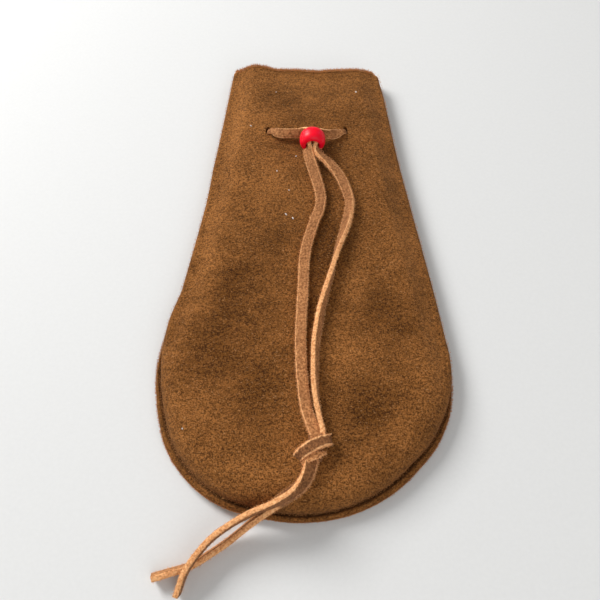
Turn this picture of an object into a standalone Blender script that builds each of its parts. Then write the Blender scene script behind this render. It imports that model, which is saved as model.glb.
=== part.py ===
"""Drawstring pouch of two suede panels, closed by one flat lace with a bead as its lock.

The pouch lies flat on its back panel. X runs across it, Y from the bulb to the mouth, Z up,
with the origin on the ground under the middle of the panels. Units are metres.
"""
import math

import bmesh
import bpy
from mathutils import Matrix, Vector

MM = 0.001

# Panels
POUCH_LENGTH = 168.0 * MM
BULB_RADIUS = 45.3 * MM
MOUTH_WIDTH = 57.0 * MM
SIDE_HOLLOW = 1.2 * MM
SUEDE_THICKNESS = 1.1 * MM
ROLL_RADIUS = 1.45 * MM
SEAM_ALLOWANCE = 5.0 * MM
SEAM_GAP = 0.3 * MM
FRONT_HEIGHT = 9.0 * MM
FRONT_RISE = 8.0 * MM

# Rim of the back panel outside the seam: at the lowest point, what the sides add, and its ends
RIM_WIDTH = 1.1 * MM
RIM_SIDE_WIDTH = 0.45 * MM
LEFT_RIM_ANGLES = (math.radians(91.0), math.radians(108.0))
RIGHT_RIM_ANGLES = (math.radians(74.0), math.radians(90.0))

# The cut's uneven outline: millimetres along it from the mouth corner, and millimetres outwards
LEFT_OUTLINE = (
    (0.0, -0.8), (27.0, -0.6), (47.0, -0.5), (62.0, -1.1), (100.0, -1.2), (109.0, -0.2),
    (118.0, 0.35), (133.0, 0.6), (141.0, 1.3), (147.0, 2.2), (153.0, 2.7), (160.0, 2.85),
    (166.0, 2.75), (172.0, 2.3), (178.0, 1.4), (185.0, 0.75), (196.0, 0.35),
)
RIGHT_OUTLINE = (
    (0.0, 0.8), (40.0, 0.5), (60.0, 0.7), (80.0, 0.4), (93.0, 0.0), (105.0, -0.4),
    (116.0, -0.8), (123.0, -0.6), (131.0, 0.1), (139.0, 0.5), (150.0, 0.3), (158.0, -0.2),
    (170.0, 0.0), (184.0, 0.2), (196.0, 0.35),
)

# Soft form of the front panel: a puffed band inside the seam and two shallow hollows
PUFF_HEIGHT = 0.3 * MM
PUFF_INSET = 11.0 * MM
PUFF_WIDTH = 5.0 * MM
PUFF_FULL_ANGLE = math.radians(40.0)
PUFF_END_ANGLE = math.radians(95.0)
HOLLOW_DEPTH = 0.5 * MM
HOLLOW_SPREAD = 13.0 * MM
HOLLOW_PLACES = ((-22.0 * MM, -18.0 * MM), (21.0 * MM, -58.0 * MM))

# Slits
SLIT_BELOW_MOUTH = 33.0 * MM
SLIT_SPACING = 27.6 * MM
SLIT_CENTRE_X = 1.0 * MM
SLIT_SIDE_CLEARANCE = 0.45 * MM
SLIT_END_CLEARANCE = 0.3 * MM
SLIT_CORNER_RADIUS = 0.6 * MM

# Lace
LACE_WIDTH = 3.4 * MM
LACE_THICKNESS = 1.5 * MM
LACE_CLEARANCE = 0.3 * MM
GROUND_CLEARANCE = 0.1 * MM
NECK_LIFT_REACH = 10.0 * MM
NECK_LIFT_SPREAD = 8.0 * MM

# Bead
BEAD_DIAMETER = 9.0 * MM
BEAD_LENGTH = 6.0 * MM
BEAD_HOLE_DIAMETER = 4.7 * MM
BEAD_EDGE_RADIUS = 1.6 * MM
BEAD_HOLE_EDGE_RADIUS = 0.5 * MM
BEAD_CLEARANCE = 0.3 * MM
BEAD_BELOW_SLITS = 8.2 * MM
BEAD_X = 2.9 * MM

# Mesh fineness
LACE_POINT_SPACING = 7.0 * MM
LACE_POINT_TURN = math.radians(16.0)
LACE_POINT_LEAN = 30.0
CURVE_STEPS = 24
SECTION_STEPS = 6
SIDE_STEPS = 20
BULB_STEPS = 28
ROLL_STEPS = 6
BEAD_STEPS = 32
BEAD_EDGE_STEPS = 5

# Worked out from the sizes above
BULB_CENTRE = Vector((0.0, BULB_RADIUS - POUCH_LENGTH / 2.0))
MOUTH_Y = POUCH_LENGTH / 2.0
SEAM_HEIGHT = 2.0 * ROLL_RADIUS + SEAM_GAP / 2.0
SLIT_Y = MOUTH_Y - SLIT_BELOW_MOUTH
NECK_LIFT = GROUND_CLEARANCE + LACE_THICKNESS + 2.0 * LACE_CLEARANCE
BEAD_Y = SLIT_Y - BEAD_BELOW_SLITS
BEAD_Z = FRONT_HEIGHT + BEAD_CLEARANCE + BEAD_DIAMETER / 2.0
STRAND_OFFSET = (LACE_THICKNESS + LACE_CLEARANCE) / 2.0
STRAND_START_Y = BEAD_Y + BEAD_LENGTH / 2.0 + LACE_CLEARANCE

FLAT = 90.0
ON_EDGE = 0.0


def clear_scene():
    """Remove every object that the file holds."""
    for item in list(bpy.data.objects):
        bpy.data.objects.remove(item, do_unlink=True)


def make_collection(name):
    """Make a collection and link it to the scene."""
    collection = bpy.data.collections.new(name)
    bpy.context.scene.collection.children.link(collection)
    return collection


def make_material(name, colour, roughness):
    """Make a plain material with the photographed colour and roughness."""
    material = bpy.data.materials.new(name)
    material.use_nodes = True
    shader = material.node_tree.nodes["Principled BSDF"]
    shader.inputs["Base Color"].default_value = (*colour, 1.0)
    shader.inputs["Roughness"].default_value = roughness
    shader.inputs["Metallic"].default_value = 0.0
    material.diffuse_color = (*colour, 1.0)
    return material


def smooth(value):
    """Ease a value from 0 to 1, flat at both ends."""
    value = min(max(value, 0.0), 1.0)
    return value * value * (3.0 - 2.0 * value)


def fade(angle, full, end):
    """Give 1 up to the full angle and 0 past the end angle."""
    return 1.0 - smooth((abs(angle) - full) / (end - full))


def bell(distance, spread):
    """Give a bell curve of height 1."""
    return math.exp(-((distance / spread) ** 2))


def tangent_angle():
    """Angle from the bulb's lowest point to where the straight side leaves it."""
    to_corner = Vector((MOUTH_WIDTH / 2.0, MOUTH_Y)) - BULB_CENTRE
    from_top = math.atan2(to_corner.x, to_corner.y) + math.acos(BULB_RADIUS / to_corner.length)
    return math.pi - from_top


def bulb_point(angle):
    """Point on the plain round bulb, counted from its lowest point towards +X."""
    return BULB_CENTRE + BULB_RADIUS * Vector((math.sin(angle), -math.cos(angle)))


def cut_edge(edge, spine, outline, travel):
    """Move a point of the plain outline to the uneven cut, this far along from the mouth."""
    for (start, first), (end, second) in zip(outline, outline[1:]):
        if start * MM <= travel <= end * MM:
            share = (travel / MM - start) / (end - start)
            return edge + (edge - spine).normalized() * (first + (second - first) * share) * MM
    return edge


def side_station(side, outline, share):
    """Edge point, spine point and continued bulb angle on a straight side, from the mouth down."""
    corner = Vector((side * MOUTH_WIDTH / 2.0, MOUTH_Y))
    foot = bulb_point(side * tangent_angle())
    edge = corner.lerp(foot, share)
    edge.x -= side * SIDE_HOLLOW * math.sin(math.pi * share) ** 2
    spine = Vector((0.0, MOUTH_Y)).lerp(BULB_CENTRE, share)
    length = (foot - corner).length
    angle = side * (tangent_angle() + (1.0 - share) * length / BULB_RADIUS)
    return cut_edge(edge, spine, outline, share * length), spine, angle


def bulb_station(angle):
    """Edge point and spine point on the bulb."""
    side_length = (bulb_point(tangent_angle()) - Vector((MOUTH_WIDTH / 2.0, MOUTH_Y))).length
    travel = side_length + (tangent_angle() - abs(angle)) * BULB_RADIUS
    outline = LEFT_OUTLINE if angle < 0.0 else RIGHT_OUTLINE
    return cut_edge(bulb_point(angle), BULB_CENTRE, outline, travel), BULB_CENTRE.copy(), angle


def outline_stations():
    """Edge point, spine point and bulb angle from the left mouth corner round to the right one."""
    left = [side_station(-1.0, LEFT_OUTLINE, step / SIDE_STEPS) for step in range(SIDE_STEPS)]
    half = tangent_angle()
    bulb = [bulb_station(half * (2.0 * step / BULB_STEPS - 1.0)) for step in range(BULB_STEPS + 1)]
    right = [side_station(1.0, RIGHT_OUTLINE, step / SIDE_STEPS) for step in range(SIDE_STEPS)]
    return left + bulb + right[::-1]


def rim_width(angle):
    """How far the front panel's roll stands inside the back panel's at this bulb angle."""
    side = math.sin(min(abs(angle), math.pi / 2.0)) ** 2
    ends = LEFT_RIM_ANGLES if angle < 0.0 else RIGHT_RIM_ANGLES
    return (RIM_WIDTH + RIM_SIDE_WIDTH * side) * fade(angle, *ends)


def no_rim(angle):
    """The back panel's roll is the outline itself."""
    return 0.0


def front_height(point, inset, angle):
    """Height of the front panel's outer face over the ground."""
    roll_top = SEAM_HEIGHT + SEAM_GAP / 2.0 + 2.0 * ROLL_RADIUS
    height = roll_top + (FRONT_HEIGHT - roll_top) * smooth((inset - ROLL_RADIUS) / FRONT_RISE)
    ring = fade(angle, PUFF_FULL_ANGLE, PUFF_END_ANGLE)
    height += PUFF_HEIGHT * ring * bell(inset - PUFF_INSET, PUFF_WIDTH)
    for place in HOLLOW_PLACES:
        dip = HOLLOW_DEPTH * bell((point - Vector(place)).length, HOLLOW_SPREAD)
        height -= dip * smooth((inset - ROLL_RADIUS) / FRONT_RISE)
    return height


def back_height(point, inset, angle):
    """Height of the back panel's outer face, lifted where the lace runs under the neck."""
    reach = SLIT_SPACING / 2.0 + NECK_LIFT_REACH
    across = smooth((reach - abs(point.x - SLIT_CENTRE_X)) / (NECK_LIFT_REACH - LACE_WIDTH))
    along = (abs(point.y - SLIT_Y) - 2.0 * LACE_WIDTH) / NECK_LIFT_SPREAD
    return NECK_LIFT * across * (1.0 - smooth(along)) * smooth((inset - ROLL_RADIUS) / FRONT_RISE)


def section_rings(depth, facing):
    """Insets and roll heights of a panel's outer face, from the raw edge inside to the spine."""
    start = SEAM_HEIGHT + facing * SEAM_GAP / 2.0
    rings = [(SEAM_ALLOWANCE, start), ((SEAM_ALLOWANCE + ROLL_RADIUS) / 2.0, start)]
    for step in range(ROLL_STEPS + 1):
        turn = math.pi * step / ROLL_STEPS
        inset = ROLL_RADIUS * (1.0 - math.sin(turn))
        rings.append((inset, start + facing * ROLL_RADIUS * (1.0 - math.cos(turn))))
    near = ROLL_RADIUS + FRONT_RISE
    shares = (0.2, 0.45, 0.7, 1.0)
    rings += [(ROLL_RADIUS + FRONT_RISE * share, None) for share in shares]
    rings += [(near + (depth - near) * share, None) for share in (0.25, 0.6, 1.0)]
    return rings


def panel_surface(name, facing, height_of, rim_of):
    """Loft the outer face of one panel from its rolled seam edge to its middle."""
    mesh = bmesh.new()
    rows = []
    for edge, spine, angle in outline_stations():
        inward = spine - edge
        shift = rim_of(angle)
        depth = inward.length - shift
        inward.normalize()
        row = []
        for inset, height in section_rings(depth, facing):
            point = edge + inward * (inset + shift)
            if height is None:
                height = height_of(point, inset, angle)
            row.append(mesh.verts.new((point.x, point.y, height)))
        rows.append(row)
    for first, second in zip(rows, rows[1:]):
        for ring in range(len(first) - 1):
            corners = [first[ring], first[ring + 1], second[ring + 1], second[ring]]
            mesh.faces.new(corners[::-1] if facing > 0.0 else corners)
    bmesh.ops.remove_doubles(mesh, verts=mesh.verts, dist=0.001 * MM)
    data = bpy.data.meshes.new(name)
    mesh.to_mesh(data)
    mesh.free()
    return data


def make_panel(name, facing, height_of, rim_of, cutters, material, collection):
    """Give a panel its suede thickness and cut the lace slits through it."""
    panel = bpy.data.objects.new(name, panel_surface(name, facing, height_of, rim_of))
    collection.objects.link(panel)
    wall = panel.modifiers.new("suede", "SOLIDIFY")
    wall.thickness = SUEDE_THICKNESS
    wall.offset = -1.0
    for cutter in cutters:
        cut = panel.modifiers.new(cutter.name, "BOOLEAN")
        cut.operation = "DIFFERENCE"
        cut.object = cutter
    panel.data.materials.append(material)
    panel.data.shade_smooth()
    return panel


def slit_x(side):
    """Centre of the left or right slit."""
    return SLIT_CENTRE_X + side * SLIT_SPACING / 2.0


def make_slit_cutter(side, collection):
    """Make the upright cutter of one slit, which passes through both panels."""
    mesh = bmesh.new()
    bmesh.ops.create_cube(mesh, size=1.0)
    size = Vector((
        LACE_THICKNESS + 2.0 * SLIT_SIDE_CLEARANCE,
        LACE_WIDTH + 2.0 * SLIT_END_CLEARANCE,
        3.0 * FRONT_HEIGHT,
    ))
    place = Vector((slit_x(side), SLIT_Y, FRONT_HEIGHT / 2.0))
    bmesh.ops.transform(mesh, matrix=Matrix.LocRotScale(place, None, size), verts=mesh.verts)
    data = bpy.data.meshes.new("slit_cutter")
    mesh.to_mesh(data)
    mesh.free()
    cutter = bpy.data.objects.new("left_slit_cutter" if side < 0.0 else "right_slit_cutter", data)
    collection.objects.link(cutter)
    cutter.hide_render = True
    cutter.display_type = "WIRE"
    corners = cutter.modifiers.new("corners", "BEVEL")
    corners.width = SLIT_CORNER_RADIUS
    corners.segments = 2
    return cutter


def curve_value(before, start, end, after, share):
    """Catmull-Rom value between start and end."""
    linear = (end - before) * share
    square = (2.0 * before - 5.0 * start + 4.0 * end - after) * share ** 2
    cube = (3.0 * start - before - 3.0 * end + after) * share ** 3
    return start + 0.5 * (linear + square + cube)


def smooth_route(route):
    """Read points, each with its lean in degrees, from a smooth curve, closer where it bends."""
    fine = []
    for index in range(len(route) - 1):
        around = [route[min(max(index + shift, 0), len(route) - 1)] for shift in (-1, 0, 1, 2)]
        for step in range(CURVE_STEPS):
            fine.append([curve_value(*values, step / CURVE_STEPS) for values in zip(*around)])
    fine.append(list(route[-1]))
    points = [fine[0]]
    turned = 0.0
    for before, here, after in zip(fine, fine[1:], fine[2:]):
        arriving = Vector(here[:3]) - Vector(before[:3])
        leaving = Vector(after[:3]) - Vector(here[:3])
        turned += arriving.angle(leaving, 0.0)
        travel = (Vector(here[:3]) - Vector(points[-1][:3])).length
        leant = abs(here[3] - points[-1][3])
        if travel >= LACE_POINT_SPACING or turned >= LACE_POINT_TURN or leant >= LACE_POINT_LEAN:
            points.append(here)
            turned = 0.0
    points.append(fine[-1])
    return points


def lace_curve(name, points, collection, width=LACE_WIDTH, twist="Z_UP", cyclic=False):
    """Sweep the lace's flat section with round edges along the points."""
    data = bpy.data.curves.new(name, "CURVE")
    data.dimensions = "3D"
    data.twist_mode = twist
    data.extrude = (width - LACE_THICKNESS) / 2.0
    data.bevel_depth = LACE_THICKNESS / 2.0
    data.bevel_resolution = 2
    data.use_fill_caps = not cyclic
    line = data.splines.new("POLY")
    line.points.add(len(points) - 1)
    line.use_cyclic_u = cyclic
    for target, (x, y, z, lean) in zip(line.points, points):
        target.co = (x, y, z, 1.0)
        target.tilt = math.radians(lean)
    curve = bpy.data.objects.new(name, data)
    collection.objects.link(curve)
    return curve


def mesh_from_curve(curve, collection):
    """Turn a curve object into a closed mesh object of the same name."""
    bpy.context.view_layer.update()
    evaluated = curve.evaluated_get(bpy.context.evaluated_depsgraph_get())
    data = bpy.data.meshes.new_from_object(evaluated)
    mesh = bmesh.new()
    mesh.from_mesh(data)
    bmesh.ops.remove_doubles(mesh, verts=mesh.verts, dist=0.001 * MM)
    bmesh.ops.recalc_face_normals(mesh, faces=mesh.faces)
    mesh.to_mesh(data)
    mesh.free()
    name = curve.name
    place = curve.matrix_world.copy()
    bpy.data.objects.remove(curve, do_unlink=True)
    item = bpy.data.objects.new(name, data)
    item.matrix_world = place
    collection.objects.link(item)
    return item


def in_metres(route, base=0.0):
    """Turn a route in millimetres over a base height, with a lean in degrees, into metres."""
    return [(x * MM, y * MM, z * MM + base, lean) for x, y, z, lean in route]


# The routes are millimetres and degrees: x, y, height and the lean, 0 on edge and 90 flat.
# The strands' and the knot's heights are over the front panel, the tails' over the ground.
LEFT_STRAND_ROUTE = (
    (2.0, 36.5, 4.3, 20.0),
    (2.7, 33.3, 3.2, 45.0),
    (3.6, 30.0, 2.2, 65.0),
    (4.9, 25.1, 1.3, 80.0),
    (5.6, 20.0, 1.05, 88.0),
    (4.9, 15.0, 1.05, 90.0),
    (3.0, 9.7, 1.05, 90.0),
    (0.1, -2.1, 1.05, 90.0),
    (-0.6, -15.2, 1.05, 90.0),
    (-1.3, -29.2, 1.05, 90.0),
    (-1.3, -36.0, 1.05, 90.0),
    (-1.0, -43.8, 1.05, 90.0),
    (-0.2, -51.6, 1.05, 90.0),
    (1.0, -56.0, 1.15, 90.0),
    (2.2, -59.4, 1.6, 90.0),
    (2.3, -60.9, 1.8, 90.0),
)
RIGHT_STRAND_ROUTE = (
    (5.2, 36.6, 4.4, -14.0),
    (8.9, 33.2, 3.6, -70.0),
    (12.7, 27.6, 2.6, -104.0),
    (15.2, 19.8, 2.0, -124.0),
    (15.0, 14.8, 1.9, -129.0),
    (13.4, 7.5, 1.9, -140.0),
    (10.8, -0.7, 2.0, -162.0),
    (8.3, -10.1, 2.05, -186.0),
    (5.6, -19.1, 2.05, -196.0),
    (4.2, -25.0, 2.05, -198.0),
    (2.9, -33.5, 2.05, -196.0),
    (2.6, -40.3, 2.05, -192.0),
    (2.9, -46.9, 2.05, -188.0),
    (4.0, -54.0, 2.05, -184.0),
    (5.2, -59.4, 2.05, -180.0),
    (5.3, -60.9, 2.05, -180.0),
)
UPPER_TAIL_ROUTE = (
    (-0.4, -71.8, 11.35, 0.0),
    (-1.6, -74.5, 11.3, 0.0),
    (-3.2, -76.4, 11.2, 0.0),
    (-6.1, -78.8, 10.9, 0.0),
    (-10.6, -80.7, 10.2, 0.0),
    (-15.1, -82.1, 7.81, 0.0),
    (-19.8, -83.9, 4.89, 0.0),
    (-23.2, -86.0, 3.12, 0.0),
    (-26.3, -89.1, 2.9, 0.0),
    (-28.5, -91.9, 3.5, 0.0),
    (-30.3, -94.3, 3.8, 0.0),
    (-32.2, -96.9, 3.6, 0.0),
    (-33.3, -98.9, 2.8, 0.0),
    (-34.2, -102.3, 1.9, 0.0),
)
LOWER_TAIL_ROUTE = (
    (1.8, -71.8, 11.35, 0.0),
    (1.0, -75.2, 11.25, 0.0),
    (-1.0, -78.1, 11.05, 0.0),
    (-4.8, -81.2, 10.2, 0.0),
    (-9.4, -83.4, 7.81, 0.0),
    (-13.6, -85.0, 4.69, 0.0),
    (-17.9, -87.0, 2.4, 10.0),
    (-21.4, -89.5, 1.7, 40.0),
    (-24.6, -92.0, 1.0, 80.0),
    (-27.6, -94.0, 0.85, 90.0),
    (-31.4, -95.5, 0.85, 90.0),
    (-34.9, -96.7, 0.95, 80.0),
    (-37.9, -97.6, 1.5, 40.0),
    (-41.0, -98.4, 1.8, 0.0),
)
KNOT_CORE_ROUTES = (
    ((2.3, -61.2, 1.8, 90.0), (2.2, -62.6, 2.1, 85.0), (1.3, -66.0, 2.7, 60.0), (-0.4, -71.5, 2.35, 0.0)),
    ((5.3, -61.2, 2.05, 0.0), (5.1, -62.6, 2.1, 5.0), (3.4, -66.0, 2.7, 20.0), (1.8, -71.5, 2.35, 0.0)),
)
# The lace on the neck: millimetres from its strand or before the slit, below the slits' middle
# and over the front panel, and its lean.
LEAVING_BEAD = (
    (0.05, 4.2, 4.8, 4.0),
    (0.5, 3.4, 4.65, 12.0),
    (1.7, 2.9, 3.9, 26.0),
    (3.2, 2.7, 3.0, 38.0),
    (4.8, 2.7, 2.35, 48.0),
)
ENTERING_SLIT = (
    (4.8, 2.6, 1.95, 58.0),
    (3.2, 2.1, 1.7, 68.0),
    (1.4, 0.8, 1.35, 82.0),
)
# Each turn of the knot: centre, half length and half height of its loop, heading and lace width.
KNOT_TURNS = (
    ("knot", (2.3, -65.6, 2.55), 4.9, 1.5, 21.0, 3.4),
    ("lower_turn", (1.5, -68.9, 2.3), 3.7, 1.25, 17.0, 1.9),
)


def strand_route(side, route):
    """Put the stretch through the bead in front of a strand's own route."""
    x = BEAD_X + side * STRAND_OFFSET
    half = BEAD_LENGTH / 2.0
    lead = [(x, y, BEAD_Z, ON_EDGE) for y in (STRAND_START_Y, BEAD_Y, BEAD_Y - half)]
    return lead + in_metres(route, FRONT_HEIGHT)


def front_stretch(side):
    """Route on the front of the neck, from the bead's far end to just above a slit."""
    start = BEAD_X + side * STRAND_OFFSET
    route = [(start, STRAND_START_Y + LACE_CLEARANCE, BEAD_Z, ON_EDGE)]
    for run, below, height, lean in LEAVING_BEAD:
        x = start + side * run * MM
        route.append((x, SLIT_Y - below * MM, FRONT_HEIGHT + height * MM, lean))
    for run, below, height, lean in ENTERING_SLIT:
        x = slit_x(side) - side * run * MM
        route.append((x, SLIT_Y - below * MM, FRONT_HEIGHT + height * MM, lean))
    return route


def neck_route():
    """Route of the held stretch: front, left slits, behind the back panel, right slits, front."""
    under = GROUND_CLEARANCE + LACE_THICKNESS / 2.0
    left = slit_x(-1.0)
    right = slit_x(1.0)
    drop = (FRONT_HEIGHT, FRONT_HEIGHT / 2.0, NECK_LIFT + LACE_CLEARANCE)
    bends = ((0.45 * MM, under + 0.5 * MM), (1.7 * MM, under), (6.0 * MM, under))
    left_behind = [(left + run, SLIT_Y, z, FLAT) for run, z in bends]
    right_behind = [(right - run, SLIT_Y, z, FLAT) for run, z in bends[::-1]]
    middle = [(SLIT_CENTRE_X, SLIT_Y, under, FLAT)]
    left_side = front_stretch(-1.0) + [(left, SLIT_Y, z, FLAT) for z in drop] + left_behind
    right_side = right_behind + [(right, SLIT_Y, z, FLAT) for z in drop[::-1]]
    return left_side + middle + right_side + front_stretch(1.0)[::-1]


def lace_section():
    """Points round the lace's flat section with round edges: across its width, through it."""
    radius = LACE_THICKNESS / 2.0
    flat = LACE_WIDTH / 2.0 - radius
    points = []
    for side in (1.0, -1.0):
        for step in range(SECTION_STEPS + 1):
            angle = math.pi * (step / SECTION_STEPS - 0.5)
            points.append((side * (flat + radius * math.cos(angle)), side * radius * math.sin(angle)))
    return points


def make_held_lace(name, points, collection):
    """Sweep the lace along the held stretch, where its width turns from upright to along Y."""
    mesh = bmesh.new()
    rings = []
    for index, point in enumerate(points):
        before = Vector(points[max(index - 1, 0)][:3])
        after = Vector(points[min(index + 1, len(points) - 1)][:3])
        tangent = (after - before).normalized()
        lean = math.radians(point[3])
        width = Vector((0.0, math.sin(lean), math.cos(lean)))
        width = (width - tangent * width.dot(tangent)).normalized()
        through = tangent.cross(width)
        centre = Vector(point[:3])
        rings.append([mesh.verts.new(centre + width * a + through * b) for a, b in lace_section()])
    for first, second in zip(rings, rings[1:]):
        for corner in range(len(first)):
            after = (corner + 1) % len(first)
            mesh.faces.new((first[corner], first[after], second[after], second[corner]))
    mesh.faces.new(rings[0])
    mesh.faces.new(rings[-1])
    bmesh.ops.recalc_face_normals(mesh, faces=mesh.faces)
    data = bpy.data.meshes.new(name)
    mesh.to_mesh(data)
    mesh.free()
    lace = bpy.data.objects.new(name, data)
    collection.objects.link(lace)
    return lace


def make_lace(suede, collection):
    """Make the held stretch, the two strands and the two tails of the lace."""
    pieces = [make_held_lace("neck_lace", smooth_route(neck_route()), collection)]
    routes = {
        "left_strand": strand_route(-1.0, LEFT_STRAND_ROUTE),
        "right_strand": strand_route(1.0, RIGHT_STRAND_ROUTE),
        "upper_tail": in_metres(UPPER_TAIL_ROUTE),
        "lower_tail": in_metres(LOWER_TAIL_ROUTE),
    }
    for name, route in routes.items():
        pieces.append(lace_curve(name, smooth_route(route), collection))
    for piece in pieces:
        piece.data.materials.append(suede)


def turn_points(centre, half_length, half_height, heading):
    """Points of one upright oval turn of the knot."""
    along = Vector((math.cos(math.radians(heading)), math.sin(math.radians(heading)), 0.0))
    points = []
    for step in range(20):
        angle = 2.0 * math.pi * step / 20
        point = Vector(centre) + along * half_length * math.cos(angle)
        point.z += half_height * math.sin(angle)
        points.append((*point, FLAT))
    return in_metres(points, FRONT_HEIGHT)


def make_knot(suede, collection, cutter_collection):
    """Join the two strands' cores and the turns round them into the overhand knot."""
    turns = []
    for name, centre, half_length, half_height, heading, width in KNOT_TURNS:
        points = turn_points(centre, half_length, half_height, heading)
        curve = lace_curve(name, points, collection, width * MM, "MINIMUM", True)
        turns.append(mesh_from_curve(curve, collection))
    for index, route in enumerate(KNOT_CORE_ROUTES):
        points = smooth_route(in_metres(route, FRONT_HEIGHT))
        curve = lace_curve(f"knot_core_{index + 1}", points, collection)
        turns.append(mesh_from_curve(curve, collection))
    knot = turns[0]
    for piece in turns[1:]:
        collection.objects.unlink(piece)
        cutter_collection.objects.link(piece)
        piece.hide_render = True
        piece.display_type = "WIRE"
        join = knot.modifiers.new(piece.name, "BOOLEAN")
        join.operation = "UNION"
        join.object = piece
    knot.data.materials.append(suede)


def bead_profile():
    """Half section of the bead: outer side down, then the hole's side up, with round edges."""
    outer = BEAD_DIAMETER / 2.0
    inner = BEAD_HOLE_DIAMETER / 2.0
    half = BEAD_LENGTH / 2.0
    corners = (
        (outer - BEAD_EDGE_RADIUS, half - BEAD_EDGE_RADIUS, BEAD_EDGE_RADIUS, 90.0),
        (outer - BEAD_EDGE_RADIUS, BEAD_EDGE_RADIUS - half, BEAD_EDGE_RADIUS, 0.0),
        (inner + BEAD_HOLE_EDGE_RADIUS, BEAD_HOLE_EDGE_RADIUS - half, BEAD_HOLE_EDGE_RADIUS, -90.0),
        (inner + BEAD_HOLE_EDGE_RADIUS, half - BEAD_HOLE_EDGE_RADIUS, BEAD_HOLE_EDGE_RADIUS, -180.0),
    )
    points = []
    for x, z, radius, start in corners:
        for step in range(BEAD_EDGE_STEPS + 1):
            angle = math.radians(start - 90.0 * step / BEAD_EDGE_STEPS)
            points.append((x + radius * math.cos(angle), 0.0, z + radius * math.sin(angle)))
    return points


def make_bead(material, collection):
    """Turn the bead and lay its hole along Y, on the two strands."""
    points = bead_profile()
    edges = [(index, (index + 1) % len(points)) for index in range(len(points))]
    data = bpy.data.meshes.new("bead")
    data.from_pydata(points, edges, [])
    bead = bpy.data.objects.new("bead", data)
    collection.objects.link(bead)
    turned = bead.modifiers.new("turned", "SCREW")
    turned.angle = math.tau
    turned.steps = BEAD_STEPS
    turned.render_steps = BEAD_STEPS
    turned.use_merge_vertices = True
    turned.merge_threshold = 0.001 * MM
    turned.use_smooth_shade = True
    bead.data.materials.append(material)
    bead.location = (BEAD_X, BEAD_Y, BEAD_Z)
    bead.rotation_euler = (math.radians(90.0), 0.0, 0.0)


def build():
    """Build the pouch."""
    clear_scene()
    parts = make_collection("drawstring_pouch")
    cutters = make_collection("cutters")
    suede = make_material("brown_suede", (0.115, 0.052, 0.024), 0.95)
    lace_leather = make_material("lace_leather", (0.24, 0.125, 0.072), 0.85)
    red_plastic = make_material("red_plastic", (0.72, 0.004, 0.018), 0.18)
    slits = [make_slit_cutter(side, cutters) for side in (-1.0, 1.0)]
    make_panel("front_panel", 1.0, front_height, rim_width, slits, suede, parts)
    make_panel("back_panel", -1.0, back_height, no_rim, slits, suede, parts)
    make_lace(lace_leather, parts)
    make_knot(lace_leather, parts, cutters)
    make_bead(red_plastic, parts)


build()
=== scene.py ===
# %% [markdown]
# # A drawstring pouch of brown suede
# The pouch is two flat pieces of suede sewn right sides together along the sides and the round
# bottom, then turned, so the seam shows as a groove between two soft rolls. One leather lace runs
# through two pairs of slits in the neck. Its ends pass through a red bead and are tied in one knot.
# CAD carries the sizes, the solids and the bead's slide. This script makes what the eye sees.

# %% Load the frame
import math

import bmesh
import bpy
import numpy as np
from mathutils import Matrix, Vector, noise
from mathutils.bvhtree import BVHTree


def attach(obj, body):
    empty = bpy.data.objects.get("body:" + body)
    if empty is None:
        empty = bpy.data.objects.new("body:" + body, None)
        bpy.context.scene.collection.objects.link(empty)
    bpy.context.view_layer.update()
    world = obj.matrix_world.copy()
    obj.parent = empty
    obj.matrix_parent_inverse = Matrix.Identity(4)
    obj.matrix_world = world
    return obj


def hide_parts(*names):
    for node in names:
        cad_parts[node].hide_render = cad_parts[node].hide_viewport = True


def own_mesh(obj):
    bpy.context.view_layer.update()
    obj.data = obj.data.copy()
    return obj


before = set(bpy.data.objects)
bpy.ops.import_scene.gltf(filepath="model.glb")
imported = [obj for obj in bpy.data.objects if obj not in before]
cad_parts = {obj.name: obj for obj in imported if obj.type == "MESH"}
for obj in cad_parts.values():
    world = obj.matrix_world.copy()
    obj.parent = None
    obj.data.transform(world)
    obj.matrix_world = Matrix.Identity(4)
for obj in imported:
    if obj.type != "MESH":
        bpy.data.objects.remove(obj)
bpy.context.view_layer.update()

MM = 0.001

# %% [markdown]
# ## Sizes
# The same sizes as in CAD, in metres. A pouch like this is cut from one piece of suede about a
# millimetre thick, and the lace is a narrow strip of thicker leather.

# %% Sizes
MOUTH_Y = 84.0 * MM
MOUTH_HALF = 28.5 * MM
BULB_RADIUS = 45.3 * MM
BULB_CENTRE = Vector((0.0, -38.7 * MM))
SIDE_HOLLOW = 1.2 * MM
SUEDE = 1.1 * MM
ROLL_RADIUS = 1.45 * MM
SEAM_GAP = 0.3 * MM
SEAM_ALLOWANCE = 5.0 * MM
SEAM_HEIGHT = 2.0 * ROLL_RADIUS + SEAM_GAP / 2.0
FRONT_HEIGHT = 9.0 * MM
FRONT_RISE = 8.0 * MM
SLIT_Y = 51.0 * MM
SLIT_X = (-12.8 * MM, 14.8 * MM)
NECK_LIFT = 2.2 * MM
LACE_WIDTH = 3.4 * MM
LACE_THICKNESS = 1.5 * MM
BEAD_CENTRE = Vector((2.9 * MM, 42.8 * MM, 13.8 * MM))
BEAD_LENGTH = 6.0 * MM
BEAD_RADIUS = 4.5 * MM
BEAD_HOLE_RADIUS = 2.35 * MM
STRAND_OFFSET = 0.9 * MM

# %% [markdown]
# ## Camera
# The photograph looks down on the pouch from its bottom end, tilted 28 degrees from straight down.

# %% Camera
view = bpy.data.cameras.new("camera")
view.lens = 38.4
view.sensor_width = 36.0
view.clip_start = 0.01
camera = bpy.data.objects.new("camera", view)
camera.location = (-0.0015, -0.1130, 0.1865)
camera.rotation_euler = (math.radians(28.0), 0.0, 0.0)
bpy.context.scene.collection.objects.link(camera)
bpy.context.scene.camera = camera

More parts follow.
